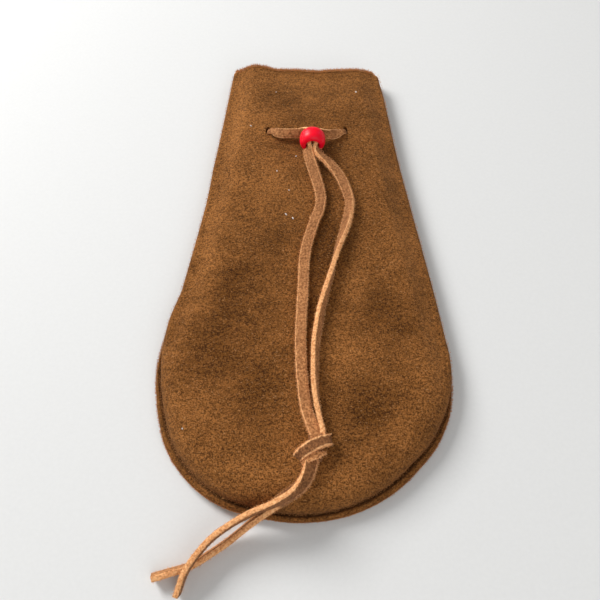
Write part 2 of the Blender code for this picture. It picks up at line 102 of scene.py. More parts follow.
# %% [markdown]
# ## Helpers
# A mesh is made from rows of points, a smooth line runs through a short list of points, and a
# little smooth noise keeps everything from looking machined.

# %% Helpers
CURVE_STEPS = 24


def smooth(value):
    """Ease from 0 to 1, flat at both ends."""
    value = min(max(value, 0.0), 1.0)
    return value * value * (3.0 - 2.0 * value)


def bell(distance, spread):
    """Bell curve of height 1."""
    return math.exp(-((distance / spread) ** 2))


def wander(x, y, z, size, seed=0.0):
    """Smooth noise from about -1 to 1, with lumps of this size."""
    return noise.noise(Vector((x / size + seed, y / size - seed, z / size)))


def smooth_line(points, spacing):
    """Evenly spaced rows of a smooth curve through the points; every column is carried along."""
    rows = np.array(points, float)
    fine = []
    for index in range(len(rows) - 1):
        before, start, end, after = (
            rows[min(max(index + shift, 0), len(rows) - 1)] for shift in (-1, 0, 1, 2)
        )
        for share in np.arange(CURVE_STEPS) / float(CURVE_STEPS):
            linear = (end - before) * share
            square = (2.0 * before - 5.0 * start + 4.0 * end - after) * share ** 2
            cube = (3.0 * start - before - 3.0 * end + after) * share ** 3
            fine.append(start + 0.5 * (linear + square + cube))
    fine.append(rows[-1])
    fine = np.array(fine)
    steps = np.linalg.norm(np.diff(fine[:, :3], axis=0), axis=1)
    travel = np.concatenate([[0.0], np.cumsum(steps)])
    count = max(2, int(round(travel[-1] / spacing)) + 1)
    places = np.linspace(0.0, travel[-1], count)
    return np.stack([np.interp(places, travel, column) for column in fine.T], axis=1)


def length_of(line):
    """Length of a line of points."""
    return float(np.linalg.norm(np.diff(line[:, :3], axis=0), axis=1).sum())


def by_table(table, place):
    """Read a table of places in millimetres or degrees and amounts in millimetres, in metres."""
    return float(np.interp(place, [row[0] for row in table], [row[1] for row in table])) * MM


def unit_rows(rows):
    """Each row of an array brought to length 1."""
    return rows / np.linalg.norm(rows, axis=1)[:, None]


def in_metres(route):
    """A route in millimetres and degrees, in metres and degrees."""
    return [(x * MM, y * MM, z * MM, lean) for x, y, z, lean in route]


def bridge(mesh, first, second, closed=False):
    """Faces between two rows of vertices, once round if closed."""
    count = len(first)
    made = []
    for index in range(count if closed else count - 1):
        after = (index + 1) % count
        made.append(mesh.faces.new((first[index], first[after], second[after], second[index])))
    return made


def finish_mesh(name, mesh):
    """Turn a bmesh into a smooth-shaded object at the origin."""
    data = bpy.data.meshes.new(name)
    mesh.to_mesh(data)
    mesh.free()
    data.shade_smooth()
    item = bpy.data.objects.new(name, data)
    bpy.context.scene.collection.objects.link(item)
    return item


def keep_result(item):
    """Give an object the mesh that its modifiers make of it, and remove them."""
    bpy.context.view_layer.update()
    evaluated = item.evaluated_get(bpy.context.evaluated_depsgraph_get())
    data = bpy.data.meshes.new_from_object(evaluated)
    item.modifiers.clear()
    item.data = data
    return data


def surface_of(item):
    """An object's surface, to be probed from above."""
    return BVHTree.FromPolygons([v.co[:] for v in item.data.vertices],
                                [p.vertices[:] for p in item.data.polygons])


def probe(surface, x, y, height):
    """Where a surface is met straight down from this height, or None."""
    return surface.ray_cast(Vector((x, y, height)), Vector((0.0, 0.0, -1.0)))[0]


# %% [markdown]
# ## The lace
# The lace is cut from a hide with a knife, so its section is nearly a rectangle: two broad faces,
# brown and fuzzy, and two cut edges that show the pale inside of the leather. It is swept along a
# line with a stated lean, 0 standing on edge and 90 lying flat. Each point also stores how much it
# belongs to a cut edge, and how dark its face is: its own tone and, where a lace lies under others,
# painted shade. The material reads both.

# %% Lace section
LACE_SPACING = 0.35 * MM
CORNER_ACROSS = 0.16
CORNER_THROUGH = 0.36


def lace_section(border):
    """Points of the section in shares of half width and half thickness, with the edge value."""
    points = []
    for across, thick in ((1, 1), (1, -1), (-1, -1), (-1, 1)):
        turn = (0.0, 0.5, 1.0) if across * thick < 0 else (1.0, 0.5, 0.0)
        for share in turn:
            angle = share * math.pi / 2.0
            points.append((
                across * (1.0 - CORNER_ACROSS + CORNER_ACROSS * math.cos(angle)),
                thick * (1.0 - CORNER_THROUGH + CORNER_THROUGH * math.sin(angle)),
                1.0 - (1.0 - border) * share,
            ))
        if across == thick:
            points.append((across * 1.02, 0.0, 1.0))
        else:
            for place in (0.42, 0.0, -0.42):
                points.append((across * place, thick, 0.0))
    return points


edge_guides = {}


def keep_guides(name, places, across, widths, depths):
    """Remember both cut edges of a lace and the way they face, for the fibres that grow there."""
    for side in (1.0, -1.0):
        edge = places + across * (side * widths / 2.0)[:, None]
        edge_guides.setdefault(name, []).append((edge, across * side, depths))


def sweep_lace(name, line, across, width=LACE_WIDTH, thickness=LACE_THICKNESS, seed=0.0,
               closed=False, mesh=None, tone=0.5, border=0.25):
    """Sweep the lace's section along a line; across is the direction of its width at each point."""
    own = mesh is None
    if own:
        mesh = bmesh.new()
    store = mesh.verts.layers.float.get("cut_edge") or mesh.verts.layers.float.new("cut_edge")
    dark = mesh.verts.layers.float.get("tone") or mesh.verts.layers.float.new("tone")
    count = len(line)
    places = line[:, :3]
    if closed:
        tangent = unit_rows(np.roll(places, -1, axis=0) - np.roll(places, 1, axis=0))
    else:
        tangent = unit_rows(np.gradient(places, axis=0))
    across = unit_rows(across - tangent * np.sum(across * tangent, axis=1)[:, None])
    face = np.cross(tangent, across)
    section = lace_section(border)
    widths = np.broadcast_to(np.asarray(width, float), (count,))
    depths = np.broadcast_to(np.asarray(thickness, float), (count,))
    tones = np.broadcast_to(np.asarray(tone, float), (count,))
    keep_guides(name, places, across, widths, depths)
    rings = []
    for index in range(count):
        ring = []
        for a, t, edge in section:
            x, y, z = places[index]
            ragged = wander(x + a, y, z, 0.9 * MM, seed + 3.0 * a) * 0.045 * edge
            waist = 1.0 + 0.04 * wander(x, y, z, 6.0 * MM, seed)
            puff = 1.0 + 0.05 * wander(x, y + a * MM, z, 2.2 * MM, seed + 7.0)
            point = (
                places[index]
                + across[index] * a * widths[index] / 2.0 * (waist + ragged)
                + face[index] * t * depths[index] / 2.0 * puff
            )
            vertex = mesh.verts.new(point)
            vertex[store] = edge
            vertex[dark] = tones[index]
            ring.append(vertex)
        rings.append(ring)
    pairs = list(zip(rings, rings[1:])) + ([(rings[-1], rings[0])] if closed else [])
    sides = len(section)
    made = []
    for first, second in pairs:
        made += bridge(mesh, first, second, closed=True)
    if not closed:
        for ring, way in ((rings[0], 1), (rings[-1], -1)):
            centre = mesh.verts.new(sum((v.co for v in ring), Vector()) / sides)
            centre[store] = 1.0
            centre[dark] = 0.5
            for side in range(sides):
                corners = (ring[(side + 1) % sides], ring[side], centre)[::way]
                made.append(mesh.faces.new(corners))
    bmesh.ops.recalc_face_normals(mesh, faces=made)
    if own:
        return finish_mesh(name, mesh)
    return None


def lean_across(line):
    """Direction of the lace's width from its lean: 0 upright, 90 flat, positive over to the left."""
    tangent = unit_rows(np.gradient(line[:, :3], axis=0))
    upright = unit_rows(np.array([0.0, 0.0, 1.0]) - tangent * tangent[:, 2:3])
    aside = np.cross(tangent, upright)
    lean = np.radians(line[:, 3])[:, None]
    return upright * np.cos(lean) + aside * np.sin(lean)


# %% [markdown]
# ## The two strands
# Both ends of the lace leave the bead on edge, side by side, because the hole is only as wide as
# two thicknesses. The left one soon lies down on its face. The right one swings out to the right,
# leaning, and comes back on edge. They lie on the front panel all the way to the knot.

# %% Strands
LOW_IN_HOLE = 0.4 * MM
LEFT_STRAND_ROUTE = (
    (1.45, 38.8, 13.2, -50.0),
    (1.75, 36.5, 12.6, -58.0),
    (2.6, 33.3, 11.9, -62.0),
    (3.6, 30.0, 11.1, -68.0),
    (4.9, 25.1, 10.3, -76.0),
    (5.6, 20.0, 10.1, -78.0),
    (4.9, 15.0, 10.1, -80.0),
    (3.0, 9.7, 10.05, -84.0),
    (0.1, -2.1, 10.05, -90.0),
    (-0.6, -15.2, 10.05, -90.0),
    (-1.3, -29.2, 10.05, -90.0),
    (-1.3, -36.0, 10.05, -92.0),
    (-1.0, -43.8, 10.05, -95.0),
    (-0.2, -51.6, 10.05, -98.0),
    (0.7, -56.0, 10.15, -100.0),
    (1.9, -59.4, 10.5, -98.0),
    (2.9, -62.4, 11.1, -94.0),
    (3.2, -65.0, 11.4, -90.0),
)
RIGHT_STRAND_ROUTE = (
    (4.35, 38.8, 13.3, 44.0),
    (5.6, 36.5, 13.0, 58.0),
    (8.9, 33.2, 12.3, 76.0),
    (12.7, 27.6, 11.3, 103.0),
    (15.2, 19.8, 10.8, 122.0),
    (15.0, 14.8, 10.8, 128.0),
    (13.4, 7.5, 10.8, 140.0),
    (10.8, -0.7, 10.9, 162.0),
    (8.4, -10.1, 11.0, 186.0),
    (5.9, -19.1, 10.9, 200.0),
    (4.6, -25.0, 10.9, 206.0),
    (3.3, -33.5, 10.9, 206.0),
    (2.9, -40.3, 10.9, 202.0),
    (2.8, -46.9, 10.9, 196.0),
    (3.3, -53.0, 10.95, 190.0),
    (4.3, -58.4, 11.0, 186.0),
    (5.0, -62.0, 11.2, 188.0),
    (4.6, -65.2, 11.4, 196.0),
)


def strand_line(side, route):
    """The whole line of one strand, from the bead's far end to the knot."""
    x = BEAD_CENTRE.x + side * STRAND_OFFSET
    half = BEAD_LENGTH / 2.0
    height = BEAD_CENTRE.z - LOW_IN_HOLE
    lead = [(x, BEAD_CENTRE.y + half + 0.3 * MM, height, 0.0), (x, BEAD_CENTRE.y, height, 0.0),
            (x + side * 0.1 * MM, BEAD_CENTRE.y - half + 1.0 * MM, height + 0.5 * MM,
             -side * 10.0)]
    return smooth_line(lead + in_metres(route), LACE_SPACING)


strand_lines = {
    "left_strand_lace": strand_line(-1.0, LEFT_STRAND_ROUTE),
    "right_strand_lace": strand_line(1.0, RIGHT_STRAND_ROUTE),
}


def strand_tone(line):
    """Darkness of a strand's face: darker near the bead, paler towards the knot."""
    return np.interp(line[:, 1] / MM, (-60.0, -20.0, 20.0, 45.0), (0.12, 0.2, 0.5, 0.45))


def strand_width(name, line):
    """Width along a strand: the left one is a little narrower, the right one next to the bead."""
    if name == "right_strand_lace":
        return np.interp(line[:, 1] / MM, (10.0, 16.0, 36.0, 42.0), (3.4, 2.95, 2.95, 3.4)) * MM
    return np.interp(line[:, 1] / MM, (-62.0, -50.0, 12.0, 30.0), (3.3, 3.05, 3.05, 3.4)) * MM


strands = {
    name: sweep_lace(name, line, lean_across(line), width=strand_width(name, line), seed=seed,
                     tone=strand_tone(line))
    for seed, (name, line) in enumerate(strand_lines.items())
}
for name, line in strand_lines.items():
    print(name, "length", round(length_of(line) * 1000, 1), "mm")

# %% [markdown]
# ## The two tails
# Below the knot the ends run off the pouch to the lower left and down onto the table. The upper
# tail crosses over the lower one. Their pale cut edges face up.

# %% Tails
UPPER_TAIL_ROUTE = (
    (2.2, -67.2, 11.6, 80.0),
    (1.5, -69.6, 11.75, 70.0),
    (0.9, -72.2, 11.75, 62.0),
    (-0.1, -74.6, 11.75, 52.0),
    (-1.5, -76.6, 11.7, 36.0),
    (-4.0, -78.7, 11.5, 16.0),
    (-8.7, -81.1, 10.9, 6.0),
    (-13.3, -82.6, 9.4, 2.0),
    (-17.9, -84.5, 7.7, 0.0),
    (-22.4, -87.1, 6.7, 0.0),
    (-25.9, -89.8, 6.0, 0.0),
    (-28.4, -92.6, 5.65, 0.0),
    (-30.4, -95.3, 5.5, 0.0),
    (-32.0, -97.9, 4.4, 0.0),
    (-32.9, -100.1, 3.2, 0.0),
    (-33.8, -102.6, 1.9, 0.0),
)
LOWER_TAIL_ROUTE = (
    (2.4, -67.6, 10.2, -90.0),
    (1.6, -70.2, 10.05, -90.0),
    (0.8, -73.0, 10.0, -88.0),
    (-0.5, -75.3, 9.95, -84.0),
    (-2.5, -77.2, 9.8, -76.0),
    (-5.1, -78.8, 9.2, -66.0),
    (-8.6, -80.9, 8.1, -46.0),
    (-12.1, -83.2, 6.5, -30.0),
    (-15.0, -85.1, 4.8, -24.0),
    (-18.3, -87.4, 3.2, -20.0),
    (-21.5, -89.7, 2.3, -20.0),
    (-25.1, -92.0, 1.95, -20.0),
    (-28.6, -94.2, 1.9, -20.0),
    (-31.8, -95.8, 1.9, -20.0),
    (-36.1, -97.0, 1.95, -22.0),
    (-40.9, -98.4, 2.05, -24.0),
)
tail_lines = {
    "upper_tail_lace": smooth_line(in_metres(UPPER_TAIL_ROUTE), LACE_SPACING),
    "lower_tail_lace": smooth_line(in_metres(LOWER_TAIL_ROUTE), LACE_SPACING),
}
# Painted shade: the upper tail's face, and the lower tail's near the knot where it lies in the upper tail's
# shadow, are marked dark; farther out the lower tail keeps its own pale face.
tail_tones_and_shade = {
    "upper_tail_lace": 0.8,
    "lower_tail_lace": np.interp(tail_lines["lower_tail_lace"][:, 0] / MM,
                                 (-12.0, -7.0), (0.1, 1.0)),
}
tail_thickness = {"upper_tail_lace": 1.45 * MM, "lower_tail_lace": 1.6 * MM}
tails = {
    name: sweep_lace(name, line, lean_across(line), thickness=tail_thickness[name],
                     seed=11.0 + seed, tone=tail_tones_and_shade[name])
    for seed, (name, line) in enumerate(tail_lines.items())
}
for name, line in tail_lines.items():
    print(name, "length", round(length_of(line) * 1000, 1), "mm")

# %% [markdown]
# ## The knot
# One overhand knot holds both ends. Seen from above it is a broad turn lying across the strands,
# with a thin dark gap and a second, narrower turn under it, where the ends come out.

# %% Knot
KNOT_CORES = (
    ((2.6, -62.6, 11.1, -90.0), (2.6, -66.0, 11.4, -90.0), (2.2, -69.4, 11.2, -90.0)),
    ((4.9, -62.6, 11.2, 0.0), (3.8, -66.0, 11.4, 30.0), (2.8, -69.2, 11.0, 80.0)),
)
# Centre, half length, half height, heading, skew, bow, width, darkness and pale border of each turn.
KNOT_TURNS = (
    ((2.35, -66.2, 11.7), 4.75, 1.6, 28.0, 0.45, 0.8, 3.2, 0.85, 0.55),
    ((2.3, -68.8, 11.2), 3.0, 1.3, 24.0, 0.3, 0.25, 1.7, 0.0, 0.45),
)


def turn_line(centre, half_length, half_height, heading, skew, bow, steps=120):
    """Line of one closed turn, skewed like a coil and bowed, with the direction of its width."""
    along = np.array([math.cos(math.radians(heading)), math.sin(math.radians(heading)), 0.0])
    aside = np.array([-along[1], along[0], 0.0])
    line = []
    across = []
    for step in range(steps):
        angle = math.tau * step / steps
        reach = math.copysign(abs(math.cos(angle)) ** 0.85, math.cos(angle))
        rise = math.copysign(abs(math.sin(angle)) ** 0.85, math.sin(angle))
        side = bow * (1.0 - reach * reach) - skew * math.sin(angle)
        point = np.array(centre) + along * half_length * reach + aside * side
        point[2] += half_height * rise
        line.append(point * MM)
        across.append(aside + 0.35 * reach * along)
    return np.array(line), np.array(across)


def make_knot():
    """All the laces inside the knot's outline, as one piece."""
    mesh = bmesh.new()
    mesh.verts.layers.float.new("cut_edge")
    # The cores inside the knot are marked darkest: painted shade on their faces and cut edges.
    for seed, route in enumerate(KNOT_CORES):
        line = smooth_line(in_metres(route), LACE_SPACING)
        sweep_lace("knot_core", line, lean_across(line), seed=20.0 + seed, mesh=mesh, tone=1.0)
    for seed, (*shape, width, tone, border) in enumerate(KNOT_TURNS):
        line, across = turn_line(*shape)
        ends = np.abs(np.cos(np.linspace(0.0, math.tau, len(line), endpoint=False)))
        widths = width * MM * (1.0 - (0.12 + 0.63 * seed) * ends ** 2)
        sweep_lace("knot_lace", line, across, width=widths, seed=30.0 + seed, closed=True,
                   mesh=mesh, tone=tone, border=border)
    return finish_mesh("knot_lace", mesh)


knot = make_knot()
print("knot faces", len(knot.data.polygons))

# %% [markdown]
# ## The lace in the neck
# From the bead's far end the two ends spread left and right over the front, dive through the slits
# in both panels and meet as one stretch behind the neck.

# %% Neck lace
# Millimetres from the strand or before the slit, below the slits' middle, over the front, and lean.
LEAVING_BEAD = (
    (0.1, 4.2, 4.3, 6.0),
    (0.7, 3.5, 3.9, 16.0),
    (1.8, 3.0, 3.2, 30.0),
    (3.2, 2.8, 2.6, 40.0),
    (4.8, 2.8, 2.2, 48.0),
)
ENTERING_SLIT = (
    (4.8, 2.6, 1.95, 58.0),
    (3.2, 2.0, 1.6, 68.0),
    (1.2, 0.9, 1.2, 84.0),
)


def front_stretch(side):
    """Rows of x, y, z and lean on the front of the neck, from the bead's far end to a slit."""
    start = BEAD_CENTRE.x + side * STRAND_OFFSET
    slit = SLIT_X[0] if side < 0 else SLIT_X[1]
    rows = [(start, BEAD_CENTRE.y + BEAD_LENGTH / 2.0 + 0.6 * MM, BEAD_CENTRE.z - LOW_IN_HOLE, 0.0)]
    sag = 0.0 if side < 0 else 0.5 * MM
    for origin, way, table in ((start, side, LEAVING_BEAD), (slit, -side, ENTERING_SLIT)):
        for run, below, height, lean in table:
            rows.append((origin + way * run * MM, SLIT_Y - below * MM - sag,
                         FRONT_HEIGHT + height * MM, lean))
    return rows


def neck_points():
    """Rows for the whole held stretch, from the bead round the back of the neck and to it again."""
    under = 0.85 * MM
    left, right = SLIT_X
    low_y = SLIT_Y - 0.5 * MM
    drop = ((low_y, FRONT_HEIGHT), (low_y, FRONT_HEIGHT / 2.0), (SLIT_Y, NECK_LIFT + 0.3 * MM))
    down = [(left, y, z, 90.0) for y, z in drop]
    rise = [(right, y, z, 90.0) for y, z in drop[::-1]]
    places = (left + 0.45 * MM, left + 1.7 * MM, left + 6.0 * MM, 1.0 * MM,
              right - 6.0 * MM, right - 1.7 * MM, right - 0.45 * MM)
    heights = (1.35 * MM, under, under, under, under, under, 1.35 * MM)
    behind = [(x, SLIT_Y, z, 90.0) for x, z in zip(places, heights)]
    return front_stretch(-1.0) + down + behind + rise + front_stretch(1.0)[::-1]


def pinched_width(row):
    """Width of the lace, which curls to a point where a slit pinches it."""
    near = min(abs(row[0] - slit) for slit in SLIT_X)
    share = float(np.interp(near / MM, (0.0, 1.3, 2.6, 4.2), (0.36, 0.58, 0.9, 1.0)))
    past_bead = bell(row[1] - 46.4 * MM, 1.5 * MM) * (row[2] > 11.0 * MM)
    return LACE_WIDTH * share * (1.0 - 0.18 * past_bead)


neck_line = smooth_line(neck_points(), LACE_SPACING)
neck_widths = np.array([pinched_width(row) for row in neck_line])
neck_lean = np.radians(neck_line[:, 3])[:, None]
neck_across = (np.cos(neck_lean) * np.array([0.0, 0.0, 1.0])
               + np.sin(neck_lean) * np.array([0.0, 1.0, 0.0]))
neck_lace = sweep_lace("neck_lace_band", neck_line, neck_across, width=neck_widths, seed=50.0,
                       thickness=1.35 * MM, tone=0.42, border=0.1)
print("neck lace length", round(length_of(neck_line) * 1000, 1), "mm",
      "lowest", round(min(v.co.z for v in neck_lace.data.vertices) * 1000, 2))

# %% [markdown]
# ## The two suede panels
# Each panel is cut to the pouch's outline plus a seam allowance. Sewn and turned, its edge rolls
# round into the seam, and the allowance lies flat inside. The outline follows the cut, which is not
# quite even: the lower left is fuller. Round the bulb the front is a little narrower than the back,
# so the back shows as a flat rim beyond a tight groove, and the front puffs up right inside it. In
# the neck the rim fades out and both edges are plain soft rolls. Each panel is a closed shell, made
# of its outer face, its inner face, the raw edge inside the seam and the cut edge at the mouth.

# %% Panels
SIDE_LENGTH = 117.5 * MM
OUTLINE_LEFT = ((0, -0.9), (12, -1.2), (27, -1.3), (47, -1.2), (62, -1.8), (98, -2.0), (108, -0.6),
                (118, 0.35), (133, 0.6), (141, 1.3), (147, 2.2), (153, 2.7), (160, 2.85),
                (166, 2.75), (172, 2.3), (178, 1.4), (185, 0.75), (196, 0.35))
OUTLINE_RIGHT = ((0, 0.8), (40, 0.5), (60, 0.7), (80, 0.4), (93, 0.0), (105, -0.4), (116, -0.8),
                 (123, -0.6), (131, 0.1), (139, 0.5), (150, 0.3), (158, -0.2), (170, 0.0),
                 (184, 0.2), (196, 0.35))
SIDE_STEPS = 100
BULB_STEPS = 170
ROLL_STEPS = 12
EDGE_STEPS = 10
EDGE_SPACING = 0.9 * MM
INNER_STEPS = 26


def tangent_angle():
    """Angle from the bulb's lowest point to where the straight side leaves it."""
    to_corner = Vector((MOUTH_HALF, MOUTH_Y)) - BULB_CENTRE
    from_top = math.atan2(to_corner.x, to_corner.y) + math.acos(BULB_RADIUS / to_corner.length)
    return math.pi - from_top


HALF_TURN = tangent_angle()


def bulb_point(angle):
    """Point on the bulb, counted from its lowest point towards the right."""
    return BULB_CENTRE + BULB_RADIUS * Vector((math.sin(angle), -math.cos(angle)))


def outline_offset(side, travel):
    """How far the cut stands outside the plain outline, this far along from the mouth."""
    return by_table(OUTLINE_LEFT if side < 0 else OUTLINE_RIGHT, travel / MM)


def station(side, travel):
    """Edge point, point on the middle line and bulb angle at one place on the outline."""
    if travel < SIDE_LENGTH:
        share = travel / SIDE_LENGTH
        corner = Vector((side * MOUTH_HALF, MOUTH_Y))
        edge = corner.lerp(bulb_point(side * HALF_TURN), share)
        edge.x -= side * SIDE_HOLLOW * math.sin(math.pi * share) ** 2
        spine = Vector((0.0, MOUTH_Y)).lerp(BULB_CENTRE, share)
        angle = HALF_TURN + (SIDE_LENGTH - travel) / BULB_RADIUS
    else:
        angle = HALF_TURN - (travel - SIDE_LENGTH) / BULB_RADIUS
        edge = bulb_point(side * angle)
        spine = BULB_CENTRE.copy()
    inward = (spine - edge).normalized()
    edge = edge - inward * outline_offset(side, travel)
    return edge, spine, angle * side


def stations():
    """All stations from the left mouth corner round the bulb to the right mouth corner."""
    whole = SIDE_LENGTH + HALF_TURN * BULB_RADIUS
    half_bulb = BULB_STEPS // 2
    travels = [0.0, 0.25 * MM, 0.6 * MM]
    travels += [SIDE_LENGTH * step / SIDE_STEPS for step in range(1, SIDE_STEPS)]
    travels += [
        SIDE_LENGTH + (whole - SIDE_LENGTH) * step / half_bulb for step in range(half_bulb + 1)
    ]
    rows = [station(-1, travel) for travel in travels]
    return rows + [station(1, travel) for travel in travels[-2::-1]]


# How far the mouth's cut reaches past its plain line, and how far its front droops, in mm by x.
MOUTH_REACH = ((-29, 0.2), (-26, 0.6), (-23.5, 1.0), (-20.4, 1.0), (-17, 0.8), (-13.3, 0.3),
               (-10, 0.1), (-6, 0.2), (-1.5, 0.2), (2.4, -0.3), (6, -0.6), (10.7, 0.0), (15, 0.2), (20, 0.3),
               (24.5, 0.2), (26.5, -0.3), (27.8, -1.1), (29.5, -2.0))
MOUTH_DROOP = ((-29, 0.2), (-20, 0.0), (-15, 0.5), (-11, 1.6), (-6, 1.8), (4, 1.9), (10, 1.8),
               (20, 1.7), (29, 1.5))
# Places in the front where the suede sinks in or stands up: x, y, depth and reach in mm.
HOLLOWS = ((-22, -18, 0.7, 12), (21, -58, 0.6, 12), (-14, 12, 0.45, 10), (-30, -40, 0.35, 9),
           (25, -25, 0.4, 10), (-10, -62, 0.3, 10), (-6, 45, 0.35, 7), (10, 60, -0.35, 9))

# Places where the suede is painted paler (above 0) or darker: x, y, amount, reach across and reach
# along. Partly the lie of the nap, partly painted light on the lit left side and painted shade in
# the hollows, between the strands and below the neck lace and the bead.
NAP_AND_SHADE_ZONES = (
    (-22, -18, -0.5, 8, 14), (-28, -34, -0.5, 8, 11), (26, -23, -0.7, 10, 12), (19, -54, -0.9, 8, 9),
    (7.5, 12, -0.9, 4.5, 18), (4, -15, -0.5, 4, 22), (-9, 69, -0.5, 7, 6), (-12.6, -48, -0.25, 9, 8),
    (22, 61, -0.25, 8, 16), (3, 44.5, -0.6, 13, 3), (-9, 5, -0.3, 5, 14), (-24, 50, 0.45, 4, 32),
    (-31, -2, 0.45, 5, 22), (-31, -57, 0.4, 7, 7), (-12.7, 29, 0.4, 6, 14), (12, -38, 0.55, 8, 7),
    (12, -76, 0.45, 18, 5), (15, -13, 0.3, 7, 6), (-15, -72, 0.4, 14, 6), (37, -39, 0.35, 5, 14),
    (-3, 77, 0.3, 14, 5), (28, -66, 0.4, 6, 8),
)


def nap_and_painted_shade(x, y):
    """How pale or dark the nap lies here, with the zones' painted light and shade, from about -1 to 1."""
    lie_and_shade = 0.25 * wander(x, y, 0.0, 9.0 * MM, 21.0)
    for cx, cy, amount, wide, high in NAP_AND_SHADE_ZONES:
        lie_and_shade += amount * bell((x / MM - cx) / wide, 1.0) * bell((y / MM - cy) / high, 1.0)
    return lie_and_shade


def rim_share(angle):
    """How much of the rim there is at this bulb angle: 1 round the bulb, 0 in the neck."""
    full, end = (86.0, 114.0) if angle < 0 else (66.0, 98.0)
    return 1.0 - smooth((math.degrees(abs(angle)) - full) / (end - full))


# How far inside the outline the front's edge stands where the rim is full, in mm by bulb angle.
GROOVE = ((-125, 1.4), (-105, 1.45), (-90, 1.7), (-75, 2.1), (-60, 2.45), (-45, 2.55), (-25, 2.3),
          (0, 2.0), (25, 2.35), (45, 2.5), (60, 2.0), (75, 1.5), (90, 1.2), (125, 1.2))


def groove_inset(angle):
    """How far inside the outline the front's edge stands where the rim is full."""
    return by_table(GROOVE, math.degrees(angle))


PUFF_START = 3.2 * MM
PUFF_RUN = 8.5 * MM


def puffed_height(inset, groove):
    """Height of the front's outer face where it rises from the groove."""
    share = min(max((inset - groove) / PUFF_RUN, 0.0), 1.0)
    return PUFF_START + (FRONT_HEIGHT - PUFF_START) * math.sqrt(1.0 - (1.0 - share) ** 2)


def rolled_height(inset):
    """Height of the front's outer face behind a plain roll."""
    roll_top = SEAM_HEIGHT + SEAM_GAP / 2.0 + 2.0 * ROLL_RADIUS
    return roll_top + (FRONT_HEIGHT - roll_top) * smooth((inset - ROLL_RADIUS) / FRONT_RISE)


def front_height(x, y, inset, angle):
    """Height of the front panel's outer face, with its hollows and its drooping mouth."""
    groove = groove_inset(angle)
    share = rim_share(angle)
    height = rolled_height(inset) * (1.0 - share) + puffed_height(inset, groove) * share
    grown = smooth((inset - ROLL_RADIUS) / FRONT_RISE)
    height += 0.3 * MM * share * bell(inset - groove - 7.0 * MM, 4.0 * MM)
    for cx, cy, depth, spread in HOLLOWS:
        height -= depth * MM * bell(math.hypot(x - cx * MM, y - cy * MM), spread * MM) * grown
    height += 0.16 * MM * wander(x, y, 0.0, 15.0 * MM, 4.0) * grown
    height += 0.07 * MM * wander(x, y, 0.0, 4.5 * MM, 9.0) * grown
    crease = bell(y - 41.0 * MM + 0.35 * (x + 6.0 * MM), 0.9 * MM)
    height -= 0.28 * MM * crease * bell(x + 6.0 * MM, 4.5 * MM)
    return height - by_table(MOUTH_DROOP, x / MM) * smooth((y - 62.0 * MM) / (22.0 * MM)) * grown


def back_height(x, y, inset, angle):
    """Height of the back panel's outer face, lifted where the lace runs behind the neck."""
    reach = (SLIT_X[1] - SLIT_X[0]) / 2.0 + 10.0 * MM
    across = smooth((reach - abs(x - 1.0 * MM)) / (10.0 * MM - LACE_WIDTH))
    along = (abs(y - SLIT_Y) - 2.0 * LACE_WIDTH) / (8.0 * MM)
    return NECK_LIFT * across * (1.0 - smooth(along)) * smooth((inset - ROLL_RADIUS) / FRONT_RISE)


def plain_roll(facing):
    """Outer and inner section of a neck edge, from the raw edge inside round to the top."""
    start = SEAM_HEIGHT + facing * SEAM_GAP / 2.0
    middle = start + facing * ROLL_RADIUS
    small = ROLL_RADIUS - SUEDE
    flat = (SEAM_ALLOWANCE, (SEAM_ALLOWANCE + ROLL_RADIUS) / 2.0)
    outer = [(inset, start) for inset in flat]
    inner = [(inset, start + facing * SUEDE) for inset in flat]
    for step in range(ROLL_STEPS + 1):
        turn = math.pi * step / ROLL_STEPS
        across, up = math.sin(turn), facing * math.cos(turn)
        outer.append((ROLL_RADIUS * (1.0 - across), middle - ROLL_RADIUS * up))
        inner.append((ROLL_RADIUS - small * across, middle - small * up))
    return np.array(outer), np.array(inner)


def rim_section(groove):
    """Outer and inner section of the back's flat rim, in metres."""
    g = groove / MM
    outer = ((g + 3.0, 2.0), (g + 1.4, 2.0), (g + 0.25, 2.0), (g - 0.15, 2.0), (g - 0.42, 2.2),
             (g - 0.6, 2.55), (g - 0.85, 2.8), (g * 0.5, 2.88), (0.62, 2.74), (0.3, 2.42),
             (0.1, 1.95), (0.0, 1.45), (0.12, 0.85), (0.55, 0.3), (1.45, 0.0))
    inner = ((g + 3.0, 1.25), (g + 1.4, 1.25), (g + 0.25, 1.27), (g - 0.15, 1.3), (g - 0.4, 1.36),
             (g - 0.6, 1.44), (1.25, 1.5), (1.14, 1.5), (1.11, 1.46), (1.1, 1.42), (1.09, 1.38),
             (1.09, 1.33), (1.12, 1.25), (1.22, 1.15), (1.45, 1.1))
    return np.array(outer) * MM, np.array(inner) * MM


def puff_section(groove):
    """Outer and inner section of the front's edge as it rises from the groove, in metres."""
    g = groove / MM
    outer = [(g + 3.0, 2.3), (g + 1.4, 2.3), (g + 0.9, 2.3), (g + 0.5, 2.3), (g + 0.2, 2.38),
             (g + 0.05, 2.55), (g, 2.8)]
    inner = [(g + 3.0, 3.35), (g + 1.6, 3.35), (g + 1.5, 3.35), (g + 1.3, 3.36), (g + 1.2, 3.4),
             (g + 1.13, 3.47), (g + 1.1, 3.55)]
    for out, within, up in ((0.0, 1.1, 0.05), (0.08, 1.13, 0.13), (0.25, 1.2, 0.27),
                            (0.5, 1.33, 0.43), (0.85, 1.52, 0.6), (1.3, 1.8, 0.76),
                            (1.9, 2.15, 0.89), (2.6, 2.6, 1.0)):
        outer.append((g + out, puffed_height(groove + out * MM, groove) / MM))
        inner.append((g + within, 3.55 + 2.55 * up))
    return np.array(outer) * MM, np.array(inner) * MM


